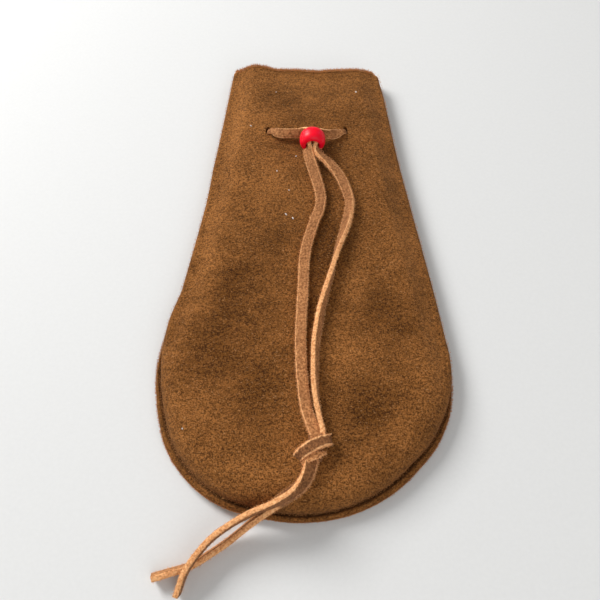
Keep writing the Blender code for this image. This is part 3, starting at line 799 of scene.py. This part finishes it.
def panel_row(facing, height_of, edge, spine, angle):
    """Outer points, inner points and painted groove shade of one station, from the raw edge to the spine."""
    groove = groove_inset(angle)
    share = rim_share(angle)
    own = puff_section(groove) if facing > 0 else rim_section(groove)
    plain = plain_roll(facing)
    outer, inner = (plain[side] * (1.0 - share) + own[side] * share for side in (0, 1))
    inward = spine - edge
    depth = inward.length
    inward.normalize()
    start = outer[-1][0]
    insets = [start + EDGE_SPACING * step for step in range(1, EDGE_STEPS + 1)]
    insets += [insets[-1] + (depth - insets[-1]) * step / float(INNER_STEPS)
               for step in range(1, INNER_STEPS + 1)]
    rows = ([], [])
    for side, points in enumerate((outer, inner)):
        for inset, height in points:
            place = edge + inward * inset
            rows[side].append([place.x, place.y, height])
    for inset in insets:
        place = edge + inward * inset
        height = height_of(place.x, place.y, inset, angle)
        rows[0].append([place.x, place.y, height])
        rows[1].append([place.x, place.y, height - facing * SUEDE])
    for row in rows:
        for point in row:
            pull = smooth((point[1] - 71.0 * MM) / (13.0 * MM))
            reach = by_table(MOUTH_REACH, point[0] / MM)
            ragged = 0.22 * MM * wander(point[0], point[2], 0.0, 0.7 * MM, 3.0) * (pull > 0.985)
            point[1] += reach * pull + ragged
    # Painted shade: darkest in the seam's groove, fading up the front's edge and out over the back's rim.
    if facing > 0:
        painted_groove_shades = [0.8] * 6 + [0.7, 0.55, 0.42, 0.32, 0.24, 0.17, 0.11, 0.06, 0.03]
    else:
        painted_groove_shades = [0.9] * 5 + [0.6, 0.35, 0.22, 0.16, 0.12, 0.1, 0.1, 0.1, 0.1, 0.1]
    painted_groove_shades = [value * share for value in painted_groove_shades] + [0.0] * len(insets)
    return rows[0], rows[1], painted_groove_shades


def make_panel(name, facing, height_of):
    """Loft one panel as a closed shell and cut its two slits."""
    mesh = bmesh.new()
    shade = mesh.verts.layers.float.new("groove")
    rim = mesh.verts.layers.float.new("cut_edge")
    # Each point keeps the nap's lie together with the zones' painted light and shade.
    nap = mesh.verts.layers.float.new("nap_and_painted_shade")
    grids = ([], [])
    for edge, spine, angle in stations():
        at_mouth = 1.0 if edge.y > MOUTH_Y - 0.3 * MM else 0.0
        outer, inner, painted_groove_shades = panel_row(facing, height_of, edge, spine, angle)
        for grid, points in zip(grids, (outer, inner)):
            row = []
            for place, dark in zip(points, painted_groove_shades):
                vertex = mesh.verts.new(place)
                vertex[shade] = dark
                vertex[rim] = at_mouth
                vertex[nap] = nap_and_painted_shade(place[0], place[1])
                row.append(vertex)
            grid.append(row)
    for grid in grids:
        for first, second in zip(grid, grid[1:]):
            bridge(mesh, first, second)
    outer, inner = grids
    bridge(mesh, [row[0] for row in outer], [row[0] for row in inner])
    for row in (0, -1):
        bridge(mesh, outer[row], inner[row])
    bmesh.ops.remove_doubles(mesh, verts=mesh.verts, dist=0.002 * MM)
    bmesh.ops.recalc_face_normals(mesh, faces=mesh.faces)
    open_edges = sum(1 for edge in mesh.edges if not edge.is_manifold)
    panel = finish_mesh(name, mesh)
    for cutter in slit_cutters:
        cut = panel.modifiers.new(cutter.name, "BOOLEAN")
        cut.operation = "DIFFERENCE"
        cut.solver = "EXACT"
        cut.object = cutter
    data = keep_result(panel)
    data.shade_smooth()
    print(name, "faces", len(data.polygons), "open edges", open_edges)
    return panel


SLIT_STEPS = 16
SLIT_SHIFT = 0.3 * MM
SLIT_HALF_WIDTH = 0.85 * MM
SLIT_HALF_LENGTH = 1.75 * MM


def make_slit_cutter(name, x):
    """Upright lens-shaped cutter: a knife slit that the lace pulls open away from the bead."""
    mesh = bmesh.new()
    ring = []
    x += math.copysign(SLIT_SHIFT, x)
    for step in range(SLIT_STEPS):
        angle = math.tau * step / SLIT_STEPS
        along = math.copysign(abs(math.sin(angle)) ** 0.8, math.sin(angle))
        ring.append((x + SLIT_HALF_WIDTH * math.cos(angle),
                     SLIT_Y + 0.5 * MM + SLIT_HALF_LENGTH * along))
    top = [mesh.verts.new((px, py, 20.0 * MM)) for px, py in ring]
    low = [mesh.verts.new((px, py, -5.0 * MM)) for px, py in ring]
    mesh.faces.new(top)
    mesh.faces.new(low[::-1])
    for index in range(SLIT_STEPS):
        after = (index + 1) % SLIT_STEPS
        mesh.faces.new((top[index], low[index], low[after], top[after]))
    bmesh.ops.recalc_face_normals(mesh, faces=mesh.faces)
    return finish_mesh(name, mesh)


slit_cutters = [make_slit_cutter("left_slit_cutter", SLIT_X[0]),
                make_slit_cutter("right_slit_cutter", SLIT_X[1])]
front = make_panel("front_suede", 1.0, front_height)
back = make_panel("back_suede", -1.0, back_height)
for cutter in slit_cutters:
    bpy.data.objects.remove(cutter, do_unlink=True)

# %% [markdown]
# ## The bead
# A plain barrel bead of moulded red plastic, with rounded ends and a wide hole.

# %% Bead
BEAD_STEPS = 96
CORNER_STEPS = 10


def make_bead():
    """Turn the bead's half section round its hole, which lies along Y."""
    outer, inner, half = BEAD_RADIUS, BEAD_HOLE_RADIUS, BEAD_LENGTH / 2.0
    deep, long, small = 1.6 * MM, 2.5 * MM, 0.5 * MM
    corners = (
        (outer - deep, half - long, deep, long, 90.0),
        (outer - deep, long - half, deep, long, 0.0),
        (inner + small, small - half, small, small, -90.0),
        (inner + small, half - small, small, small, -180.0),
    )
    profile = []
    for radius_at, along, across, length, start in corners:
        for step in range(CORNER_STEPS + 1):
            angle = math.radians(start - 90.0 * step / CORNER_STEPS)
            profile.append((radius_at + across * math.cos(angle), along + length * math.sin(angle)))
    mesh = bmesh.new()
    rings = []
    for step in range(BEAD_STEPS):
        turn = math.tau * step / BEAD_STEPS
        rings.append([
            mesh.verts.new((
                BEAD_CENTRE.x + radius * math.cos(turn),
                BEAD_CENTRE.y + along,
                BEAD_CENTRE.z + radius * math.sin(turn),
            )) for radius, along in profile
        ])
    for index, first in enumerate(rings):
        bridge(mesh, first, rings[(index + 1) % BEAD_STEPS], closed=True)
    bmesh.ops.recalc_face_normals(mesh, faces=mesh.faces)
    return finish_mesh("red_bead", mesh)


bead = make_bead()
print("bead faces", len(bead.data.polygons))

# %% [markdown]
# ## Materials
# Suede is the napped flesh side of leather: short fibres that catch light unevenly, so the colour
# is mottled at several sizes and soft at the edges. The node groups give masks and heights only,
# and each material mixes its own colours with them.

# %% Node helpers
def new_group(name, inputs, outputs):
    """An empty shader node group with named sockets."""
    tree = bpy.data.node_groups.new(name, "ShaderNodeTree")
    for label, kind, value in inputs:
        socket = tree.interface.new_socket(label, in_out="INPUT", socket_type=kind)
        if value is not None:
            socket.default_value = value
    for label, kind in outputs:
        tree.interface.new_socket(label, in_out="OUTPUT", socket_type=kind)
    return tree, tree.nodes.new("NodeGroupInput"), tree.nodes.new("NodeGroupOutput")


def set_inputs(node, values):
    """Set a node's inputs by name or number."""
    for key, value in values.items():
        node.inputs[key].default_value = value


def add(tree, kind, **settings):
    """Add a node, set its properties and its inputs by name or number."""
    node = tree.nodes.new(kind)
    set_inputs(node, settings.pop("inputs", {}))
    for key, value in settings.items():
        setattr(node, key, value)
    return node


def noise_node(tree, vector, scale, detail=3.0, roughness=0.6, stretch=None, turn=0.0):
    """Noise of this scale, optionally stretched and turned, fed by a vector."""
    if stretch:
        mapping = add(tree, "ShaderNodeMapping", inputs={
            "Rotation": (0.0, 0.0, math.radians(turn)), "Scale": stretch,
        })
        tree.links.new(vector, mapping.inputs["Vector"])
        vector = mapping.outputs["Vector"]
    node = add(tree, "ShaderNodeTexNoise", inputs={
        "Scale": scale, "Detail": detail, "Roughness": roughness,
    })
    tree.links.new(vector, node.inputs["Vector"])
    return node.outputs["Fac"]


def math_node(tree, operation, first, second=0.0, clamp=False):
    """One math step between sockets or numbers."""
    node = add(tree, "ShaderNodeMath", operation=operation, use_clamp=clamp)
    for index, value in enumerate((first, second)):
        if isinstance(value, (int, float)):
            node.inputs[index].default_value = value
        else:
            tree.links.new(value, node.inputs[index])
    return node.outputs[0]


def weighted_sum(tree, *parts):
    """Sum of two sockets, each times its weight."""
    first, second = (math_node(tree, "MULTIPLY", socket, weight) for socket, weight in parts)
    return math_node(tree, "ADD", first, second)


def stored(tree, name):
    """A value that the mesh stores under this name."""
    return add(tree, "ShaderNodeAttribute", attribute_name=name).outputs["Fac"]


def mix_colour(tree, factor, first, second):
    """Mix two colours, given as sockets or values."""
    node = add(tree, "ShaderNodeMix", data_type="RGBA")
    for key, value in ((0, factor), (6, first), (7, second)):
        if isinstance(value, (int, float)):
            node.inputs[key].default_value = value
        elif isinstance(value, tuple):
            node.inputs[key].default_value = (*value, 1.0)
        else:
            tree.links.new(value, node.inputs[key])
    return node.outputs[2]


def spread_value(tree, value, low, high, first=0.0, second=1.0):
    """Stretch a value from low..high to first..second, held at the ends."""
    node = add(tree, "ShaderNodeMapRange", inputs={1: low, 2: high, 3: first, 4: second})
    node.clamp = True
    tree.links.new(value, node.inputs[0])
    return node.outputs[0]


def make_nap_group():
    """Suede nap: a broad shade, a mottle of fibre clumps, pale flecks and the bump height."""
    tree, source, result = new_group(
        "suede_nap",
        [("Position", "NodeSocketVector", None)],
        [("Broad", "NodeSocketFloat"), ("Mottle", "NodeSocketFloat"),
         ("Flecks", "NodeSocketFloat"), ("Height", "NodeSocketFloat")],
    )
    at = source.outputs["Position"]
    broad = noise_node(tree, at, 48.0, 3.0, 0.55)
    smears = noise_node(tree, at, 150.0, 3.0, 0.6, (1.0, 2.2, 1.0), 25.0)
    clumps = noise_node(tree, at, 1000.0, 3.0, 0.75, (1.0, 1.4, 1.0), -35.0)
    grain = noise_node(tree, at, 2500.0, 2.0, 0.75)
    flecks = noise_node(tree, at, 1500.0, 1.0, 0.5, (1.0, 1.8, 1.0), 60.0)
    shade = weighted_sum(tree, (broad, 0.5), (smears, 0.5))
    mottle = weighted_sum(tree, (clumps, 0.42), (grain, 0.58))
    tree.links.new(spread_value(tree, shade, 0.38, 0.62), result.inputs["Broad"])
    tree.links.new(spread_value(tree, mottle, 0.42, 0.59), result.inputs["Mottle"])
    tree.links.new(spread_value(tree, flecks, 0.64, 0.74), result.inputs["Flecks"])
    tree.links.new(mottle, result.inputs["Height"])
    return tree


def start_material(name, roughness):
    """A material with a Principled shader and its object coordinates."""
    material = bpy.data.materials.new(name)
    material.use_nodes = True
    tree = material.node_tree
    shader = tree.nodes["Principled BSDF"]
    shader.inputs["Roughness"].default_value = roughness
    coordinates = tree.nodes.new("ShaderNodeTexCoord")
    return material, tree, shader, coordinates.outputs["Object"]


def add_bump(tree, shader, height, strength, distance):
    """Feed a height into the shader's normal."""
    bump = add(tree, "ShaderNodeBump", inputs={"Strength": strength, "Distance": distance})
    tree.links.new(height, bump.inputs["Height"])
    tree.links.new(bump.outputs["Normal"], shader.inputs["Normal"])


nap_group = make_nap_group()


def suede_material():
    """Brown suede: painted shade in the groove and on the rim, painted light and shade in zones, a pale cut
    mouth.
    """
    material, tree, shader, at = start_material("brown_suede_nap", 0.95)
    nap = add(tree, "ShaderNodeGroup", node_tree=nap_group)
    tree.links.new(at, nap.inputs["Position"])
    # The zones bring painted light and shade into the suede's tone.
    shade = weighted_sum(tree, (nap.outputs["Broad"], 0.45), (stored(tree, "nap_and_painted_shade"), 0.75))
    shade = math_node(tree, "ADD", shade, 0.25, clamp=True)
    deep = mix_colour(tree, shade, (0.030, 0.0098, 0.0016), (0.115, 0.0400, 0.0085))
    pale = mix_colour(tree, shade, (0.205, 0.0740, 0.0125), (0.540, 0.2150, 0.0560))
    colour = mix_colour(tree, nap.outputs["Mottle"], deep, pale)
    colour = mix_colour(tree, math_node(tree, "MULTIPLY", nap.outputs["Flecks"], 0.5), colour,
                        (0.62, 0.31, 0.12))
    # The groove value paints shade into the seam's groove; the cut edge is the mouth's pale cut.
    for name, tint in (("groove", (0.060, 0.022, 0.007)), ("cut_edge", (0.80, 0.36, 0.13))):
        share = math_node(tree, "MULTIPLY", stored(tree, name), 0.8)
        colour = mix_colour(tree, share, colour, tint)
    tree.links.new(colour, shader.inputs["Base Color"])
    set_inputs(shader, {"Specular IOR Level": 0.12, "Sheen Weight": 0.2, "Sheen Roughness": 0.45,
                        "Sheen Tint": (0.85, 0.42, 0.18, 1.0)})
    add_bump(tree, shader, nap.outputs["Height"], 0.9, 0.0010)
    return material


def lace_material():
    """Lace leather: brown fuzzy faces, pale cut edges, and painted shade where a lace lies under others."""
    material, tree, shader, at = start_material("lace_leather_cut", 0.85)
    edge = stored(tree, "cut_edge")
    tone = stored(tree, "tone")
    fuzz = noise_node(tree, at, 1500.0, 3.0, 0.7)
    patch = noise_node(tree, at, 260.0, 2.0, 0.5)
    fine = spread_value(tree, fuzz, 0.38, 0.62)
    pale = mix_colour(tree, fine, (0.270, 0.098, 0.030), (0.720, 0.325, 0.122))
    dark = mix_colour(tree, fine, (0.075, 0.026, 0.008), (0.260, 0.098, 0.032))
    faces = mix_colour(tree, tone, pale, dark)
    faces = mix_colour(tree, math_node(tree, "MULTIPLY", spread_value(tree, patch, 0.4, 0.7), 0.35),
                       faces, (0.20, 0.076, 0.026))
    edges = mix_colour(tree, spread_value(tree, fuzz, 0.36, 0.60), (0.60, 0.240, 0.080),
                       (1.0, 0.56, 0.255))
    # Where a lace is marked darkest, deep in the knot and on the lower tail under the upper one, its cut
    # edges are painted into shade.
    painted_edge_shade = math_node(tree, "MULTIPLY", spread_value(tree, tone, 0.86, 1.0), 0.85)
    edges = mix_colour(tree, painted_edge_shade, edges, (0.15, 0.055, 0.024))
    wobble = math_node(tree, "ADD", edge,
                       math_node(tree, "MULTIPLY", math_node(tree, "SUBTRACT", fuzz, 0.5), 0.7))
    colour = mix_colour(tree, spread_value(tree, wobble, 0.3, 0.62), faces, edges)
    tree.links.new(colour, shader.inputs["Base Color"])
    set_inputs(shader, {"Specular IOR Level": 0.2, "Sheen Weight": 0.12, "Sheen Roughness": 0.5,
                        "Sheen Tint": (0.9, 0.6, 0.35, 1.0)})
    add_bump(tree, shader, fuzz, 0.7, 0.0004)
    return material


def lint_material():
    """White lint."""
    material, tree, shader, at = start_material("white_lint", 0.9)
    shade = noise_node(tree, at, 2000.0, 1.0, 0.5)
    tree.links.new(mix_colour(tree, shade, (0.72, 0.70, 0.66), (0.86, 0.85, 0.82)),
                   shader.inputs["Base Color"])
    return material


def bead_material():
    """Glossy red plastic, a little rubbed, with faint moulding waves."""
    material, tree, shader, at = start_material("red_plastic_gloss", 0.3)
    wave = noise_node(tree, at, 300.0, 2.0, 0.5)
    rubbed = noise_node(tree, at, 1400.0, 3.0, 0.6)
    colour = mix_colour(tree, wave, (0.97, 0.0008, 0.016), (1.0, 0.001, 0.026))
    tree.links.new(colour, shader.inputs["Base Color"])
    tree.links.new(spread_value(tree, rubbed, 0.4, 0.75, 0.34, 0.48), shader.inputs["Roughness"])
    set_inputs(shader, {"Specular IOR Level": 0.22, "Subsurface Weight": 0.5,
                        "Subsurface Radius": (0.004, 0.0003, 0.0003), "Subsurface Scale": 1.0,
                        "Coat Weight": 0.05, "Coat Roughness": 0.2})
    add_bump(tree, shader, wave, 0.15, 0.0005)
    return material


suede = suede_material()
lace_leather = lace_material()
red_plastic = bead_material()
white_lint = lint_material()
for item in (front, back):
    item.data.materials.clear()
    item.data.materials.append(suede)
for item in (neck_lace, knot, *strands.values(), *tails.values()):
    item.data.materials.append(lace_leather)
bead.data.materials.append(red_plastic)

# %% [markdown]
# ## Loose fibres and lint
# A knife leaves fibres standing on every cut edge of leather, and worn suede is fuzzy along its
# seams. Modelling them by hand would take thousands of strokes, so one Geometry Nodes tree sets a
# thin cone at every step along guide lines, each turned by its own random amount. The same tree
# serves the rim, the mouth and the lace with other inputs. A second tree drops lint on given places.

# %% Fibre tree
def new_tree(name, made, sockets):
    """A geometry tree with named inputs: its input sockets, its output node and its linker."""
    tree = bpy.data.node_groups.new(name, "GeometryNodeTree")
    for label, kind, value in sockets:
        socket = tree.interface.new_socket(label, in_out="INPUT", socket_type="NodeSocket" + kind)
        if value is not None:
            socket.default_value = value
    tree.interface.new_socket(made, in_out="OUTPUT", socket_type="NodeSocketGeometry")
    source = tree.nodes.new("NodeGroupInput").outputs
    return tree, source, tree.nodes.new("NodeGroupOutput"), tree.links.new


def finish_tree(tree, shapes, source, result):
    """Set the material on a tree's shapes and hand them over."""
    paint = add(tree, "GeometryNodeSetMaterial")
    tree.links.new(shapes, paint.inputs["Geometry"])
    tree.links.new(source["Material"], paint.inputs["Material"])
    tree.links.new(paint.outputs[0], result.inputs[0])
    return tree


def random_value(tree, kind, low, high, seed):
    """A Random Value node fed by the tree's seed."""
    node = add(tree, "FunctionNodeRandomValue", data_type=kind)
    numbers = {"FLOAT_VECTOR": (0, 1), "FLOAT": (2, 3)}[kind]
    for number, value in zip(numbers, (low, high)):
        node.inputs[number].default_value = value
    tree.links.new(seed, node.inputs["Seed"])
    return node.outputs[0 if kind == "FLOAT_VECTOR" else 1]


def scaled(tree, vector, amount):
    """A vector times a number socket."""
    node = add(tree, "ShaderNodeVectorMath", operation="SCALE")
    tree.links.new(vector, node.inputs["Vector"])
    tree.links.new(amount, node.inputs["Scale"])
    return node.outputs[0]


def make_fibre_tree():
    """Thin cones along guide lines, standing the way the guide's outward attribute points."""
    tree, source, result, link = new_tree("cut_edge_fibres", "Fibres", (
        ("Guides", "Geometry", None), ("Step", "Float", 0.1 * MM), ("Length", "Float", 0.5 * MM),
        ("Thickness", "Float", 0.04 * MM), ("Disorder", "Float", 0.8),
        ("Scatter", "Float", 0.3 * MM), ("Tone", "Float", 0.5), ("Seed", "Int", 1),
        ("Material", "Material", None),
    ))
    curve = add(tree, "GeometryNodeMeshToCurve")
    link(source["Guides"], curve.inputs["Mesh"])
    even = add(tree, "GeometryNodeResampleCurve", mode="LENGTH")
    link(curve.outputs[0], even.inputs["Curve"])
    link(source["Step"], even.inputs["Length"])
    move = add(tree, "GeometryNodeSetPosition")
    link(even.outputs[0], move.inputs["Geometry"])
    loose = random_value(tree, "FLOAT_VECTOR", (-1, -1, -1), (1, 1, 1), source["Seed"])
    link(scaled(tree, loose, source["Scatter"]), move.inputs["Offset"])
    outward = add(tree, "GeometryNodeInputNamedAttribute", data_type="FLOAT_VECTOR")
    outward.inputs["Name"].default_value = "outward"
    stray = scaled(tree, loose, source["Disorder"])
    heading = add(tree, "ShaderNodeVectorMath", operation="ADD")
    link(outward.outputs[0], heading.inputs[0])
    link(stray, heading.inputs[1])
    turn = add(tree, "FunctionNodeAlignRotationToVector", axis="Z")
    link(heading.outputs[0], turn.inputs["Vector"])
    cone = add(tree, "GeometryNodeMeshCone", fill_type="NONE",
               inputs={"Vertices": 3, "Radius Top": 0.0})
    link(source["Thickness"], cone.inputs["Radius Bottom"])
    link(source["Length"], cone.inputs["Depth"])
    place = add(tree, "GeometryNodeInstanceOnPoints")
    link(move.outputs[0], place.inputs["Points"])
    link(cone.outputs[0], place.inputs["Instance"])
    link(turn.outputs[0], place.inputs["Rotation"])
    link(random_value(tree, "FLOAT", 0.35, 1.25, source["Seed"]), place.inputs["Scale"])
    real = add(tree, "GeometryNodeRealizeInstances")
    link(place.outputs[0], real.inputs["Geometry"])
    last = real.outputs[0]
    for name, value in (("cut_edge", 1.0), ("tone", source["Tone"])):
        store = add(tree, "GeometryNodeStoreNamedAttribute", data_type="FLOAT", domain="POINT")
        store.inputs["Name"].default_value = name
        link(last, store.inputs["Geometry"])
        if isinstance(value, float):
            store.inputs["Value"].default_value = value
        else:
            link(value, store.inputs["Value"])
        last = store.outputs[0]
    return finish_tree(tree, last, source, result)


def make_lint_tree():
    """A small crumpled speck at every point, each of its own size and turn."""
    tree, source, result, link = new_tree("lint_specks", "Specks", (
        ("Places", "Geometry", None), ("Size", "Float", 0.3 * MM), ("Seed", "Int", 1),
        ("Material", "Material", None),
    ))
    ball = add(tree, "GeometryNodeMeshIcoSphere", inputs={"Subdivisions": 2})
    link(source["Size"], ball.inputs["Radius"])
    place = add(tree, "GeometryNodeInstanceOnPoints")
    link(source["Places"], place.inputs["Points"])
    link(ball.outputs[0], place.inputs["Instance"])
    link(random_value(tree, "FLOAT_VECTOR", (0, 0, 0), (6.3, 6.3, 6.3), source["Seed"]),
         place.inputs["Rotation"])
    link(random_value(tree, "FLOAT_VECTOR", (0.5, 0.4, 0.3), (1.5, 0.9, 0.6), source["Seed"]),
         place.inputs["Scale"])
    real = add(tree, "GeometryNodeRealizeInstances")
    link(place.outputs[0], real.inputs["Geometry"])
    return finish_tree(tree, real.outputs[0], source, result)


def run_tree(name, data, tree, settings):
    """Run a geometry tree on a mesh and keep the result as a plain mesh."""
    item = bpy.data.objects.new(name, data)
    bpy.context.scene.collection.objects.link(item)
    grow = item.modifiers.new("grow", "NODES")
    grow.node_group = tree
    for socket in tree.interface.items_tree:
        if socket.in_out == "INPUT" and socket.name in settings:
            grow[socket.identifier] = settings[socket.name]
    grown = keep_result(item)
    for vertex in grown.vertices:
        vertex.co.z = max(vertex.co.z, 0.05 * MM)
    print(name, "faces", len(grown.polygons))
    return item


# %% Guide lines and the fibres on them
def guide_mesh(lines):
    """A mesh of loose lines whose points store which way is outward."""
    places, edges, outward = [], [], []
    for line, out in lines:
        first = len(places)
        places += [tuple(point) for point in line]
        outward += [tuple(way) for way in out]
        edges += [(first + index, first + index + 1) for index in range(len(line) - 1)]
    data = bpy.data.meshes.new("guides")
    data.from_pydata(places, edges, [])
    stored = data.attributes.new("outward", "FLOAT_VECTOR", "POINT")
    stored.data.foreach_set("vector", np.array(outward, float).ravel())
    return data


def lace_guides(*names):
    """Lines along the cut edges of these laces: one near each corner and one between."""
    lines = []
    for name in names:
        for edge, out, depths in edge_guides[name]:
            through = np.cross(unit_rows(np.gradient(edge, axis=0)), out)
            for side in (-0.4, 0.0, 0.4):
                lines.append((edge + through * (depths * side)[:, None] - out * 0.1 * MM,
                              out + through * side))
    return lines


def seam_guides():
    """Lines along the outermost fold of the back and, in the neck, of the front."""
    low, high, low_out, high_out = [], [], [], []
    for edge, spine, angle in stations():
        out = (edge - spine).normalized()
        share = rim_share(angle)
        low.append((edge.x - out.x * 0.2 * MM, edge.y - out.y * 0.2 * MM, 2.0 * MM))
        low_out.append((out.x, out.y, 1.2))
        fold = edge - out * groove_inset(angle) * share
        high.append((fold.x, fold.y, (4.65 * (1.0 - share) + 3.4 * share) * MM))
        high_out.append((out.x, out.y, 1.0))
    return [(low, low_out)], [(high, high_out)]


def mouth_guides(panel, low, high):
    """Lines along the mouth's cut: the far edge of a panel, found in its mesh by height."""
    surface = surface_of(panel)
    line = []
    for x in np.arange(-26.6, 27.6, 0.35) * MM:
        reach = MOUTH_Y + by_table(MOUTH_REACH, x / MM)
        hit = probe(surface, x, reach - 0.35 * MM, high)
        if hit is not None and hit.z > low:
            line.append((x, reach - 0.1 * MM, hit.z - 0.15 * MM))
    return [(line, [(0.0, 0.95, 0.4)] * len(line))]


fibre_tree = make_fibre_tree()
rim_lines, fold_lines = seam_guides()
fibres = {}
mouth_lines = mouth_guides(front, 5.7 * MM, 20.0 * MM)
# Name, guide lines, material, step, length, thickness, disorder, scatter and seed, in millimetres.
for name, lines, material, step, length, thick, disorder, scatter, seed in (
    ("rim_fibres", rim_lines, suede, 0.03, 0.45, 0.07, 0.8, 0.25, 3),
    ("fold_fibres", fold_lines, suede, 0.06, 0.4, 0.06, 1.1, 0.4, 4),
    ("mouth_fibres", mouth_lines, suede, 0.012, 0.95, 0.11, 0.9, 0.4, 5),
    ("strand_fibres", lace_guides(*strand_lines), lace_leather, 0.09, 0.55, 0.05, 0.9, 0.2, 6),
    ("lace_fibres", lace_guides("knot_lace", *tail_lines), lace_leather,
     0.09, 0.55, 0.05, 0.9, 0.2, 7),
):
    fibres[name] = run_tree(name, guide_mesh(lines), fibre_tree, {
        "Step": step * MM, "Length": length * MM, "Thickness": thick * MM, "Disorder": disorder,
        "Scatter": scatter * MM, "Tone": 0.5, "Seed": seed, "Material": material,
    })

# %% Lint where the photograph shows it
LINT_PLACES = ((-10.6, 71.4), (19.8, 71.4), (-19.5, 53.7), (-2.9, 39.6), (-9.6, 32.8),
               (-5.3, 24.4), (-6.2, 14.3), (-3.9, 12.7), (-35.0, -59.8))
front_surface = surface_of(front)
lint_points = [
    (x * MM, y * MM, probe(front_surface, x * MM, y * MM, 50.0 * MM).z + 0.1 * MM)
    for x, y in LINT_PLACES
]
lint_data = bpy.data.meshes.new("lint_places")
lint_data.from_pydata(lint_points, [], [])
lint = run_tree("white_lint_specks", lint_data, make_lint_tree(), {
    "Size": 0.36 * MM, "Seed": 2, "Material": white_lint,
})

# %% [markdown]
# ## What moves and what stands for what
# The bead slides down the two strands to the knot. Everything else lies still. As the bead comes
# down it gathers the strands, so they narrow towards it. They follow sideways only, little by
# little, and keep their heights. That is a known fault: away from rest the bead's wall cuts through
# them, and a quarter of the way down the right one passes beside the bead.

# %% Bodies, nodes and soft facts
for item in (front, back, neck_lace, knot, lint, *strands.values(), *tails.values(),
             *fibres.values()):
    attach(item, "pouch")
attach(bead, "bead")
for item, node in (
    (front, "front_panel"), (back, "back_panel"), (neck_lace, "neck_lace"), (knot, "knot"),
    (strands["left_strand_lace"], "left_strand"), (strands["right_strand_lace"], "right_strand"),
    (tails["upper_tail_lace"], "upper_tail"), (tails["lower_tail_lace"], "lower_tail"),
    (bead, "bead"),
):
    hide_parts(node)
for item in (*strands.values(), fibres["strand_fibres"]):
    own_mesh(item)

# %% [markdown]
# ## Floor and light
# A pale floor and soft light: a lamp above the mouth's end on the left, a wider and weaker one
# above the bottom end on the right, and an even white surrounding.

# %% Floor, lamps and surroundings
def make_floor():
    """A wide pale floor that curves up far behind."""
    mesh = bmesh.new()
    rows = []
    for y, z in ((-1.2, 0.0), (0.0, 0.0), (0.9, 0.0), (1.15, 0.05), (1.3, 0.2), (1.35, 1.2)):
        rows.append([mesh.verts.new((x, y, z - 0.0002)) for x in (-1.6, 0.0, 1.6)])
    for first, second in zip(rows, rows[1:]):
        bridge(mesh, first, second)
    return finish_mesh("floor", mesh)


floor = make_floor()
floor_material, tree, shader, at = start_material("pale_floor", 0.7)
speckle = noise_node(tree, at, 900.0, 2.0, 0.5)
tree.links.new(mix_colour(tree, speckle, (0.70, 0.70, 0.69), (0.74, 0.74, 0.73)),
               shader.inputs["Base Color"])
shader.inputs["Specular IOR Level"].default_value = 0.2
floor.data.materials.append(floor_material)

for name, place, size, power in (
    ("key_lamp", (-0.62, 0.50, 0.58), 0.42, 11.0),
    ("fill_lamp", (0.3, -0.65, 0.6), 0.8, 3.0),
):
    lamp = bpy.data.lights.new(name, "AREA")
    lamp.shape = "SQUARE"
    lamp.size = size
    lamp.energy = power
    item = bpy.data.objects.new(name, lamp)
    item.location = place
    item.rotation_euler = (-Vector(place)).to_track_quat("-Z", "Y").to_euler()
    bpy.context.scene.collection.objects.link(item)

world = bpy.data.worlds.new("surroundings")
bpy.context.scene.world = world
world.use_nodes = True
set_inputs(world.node_tree.nodes["Background"], {"Color": (1.0, 1.0, 1.0, 1.0), "Strength": 0.33})
bpy.context.scene.view_settings.view_transform = "Standard"
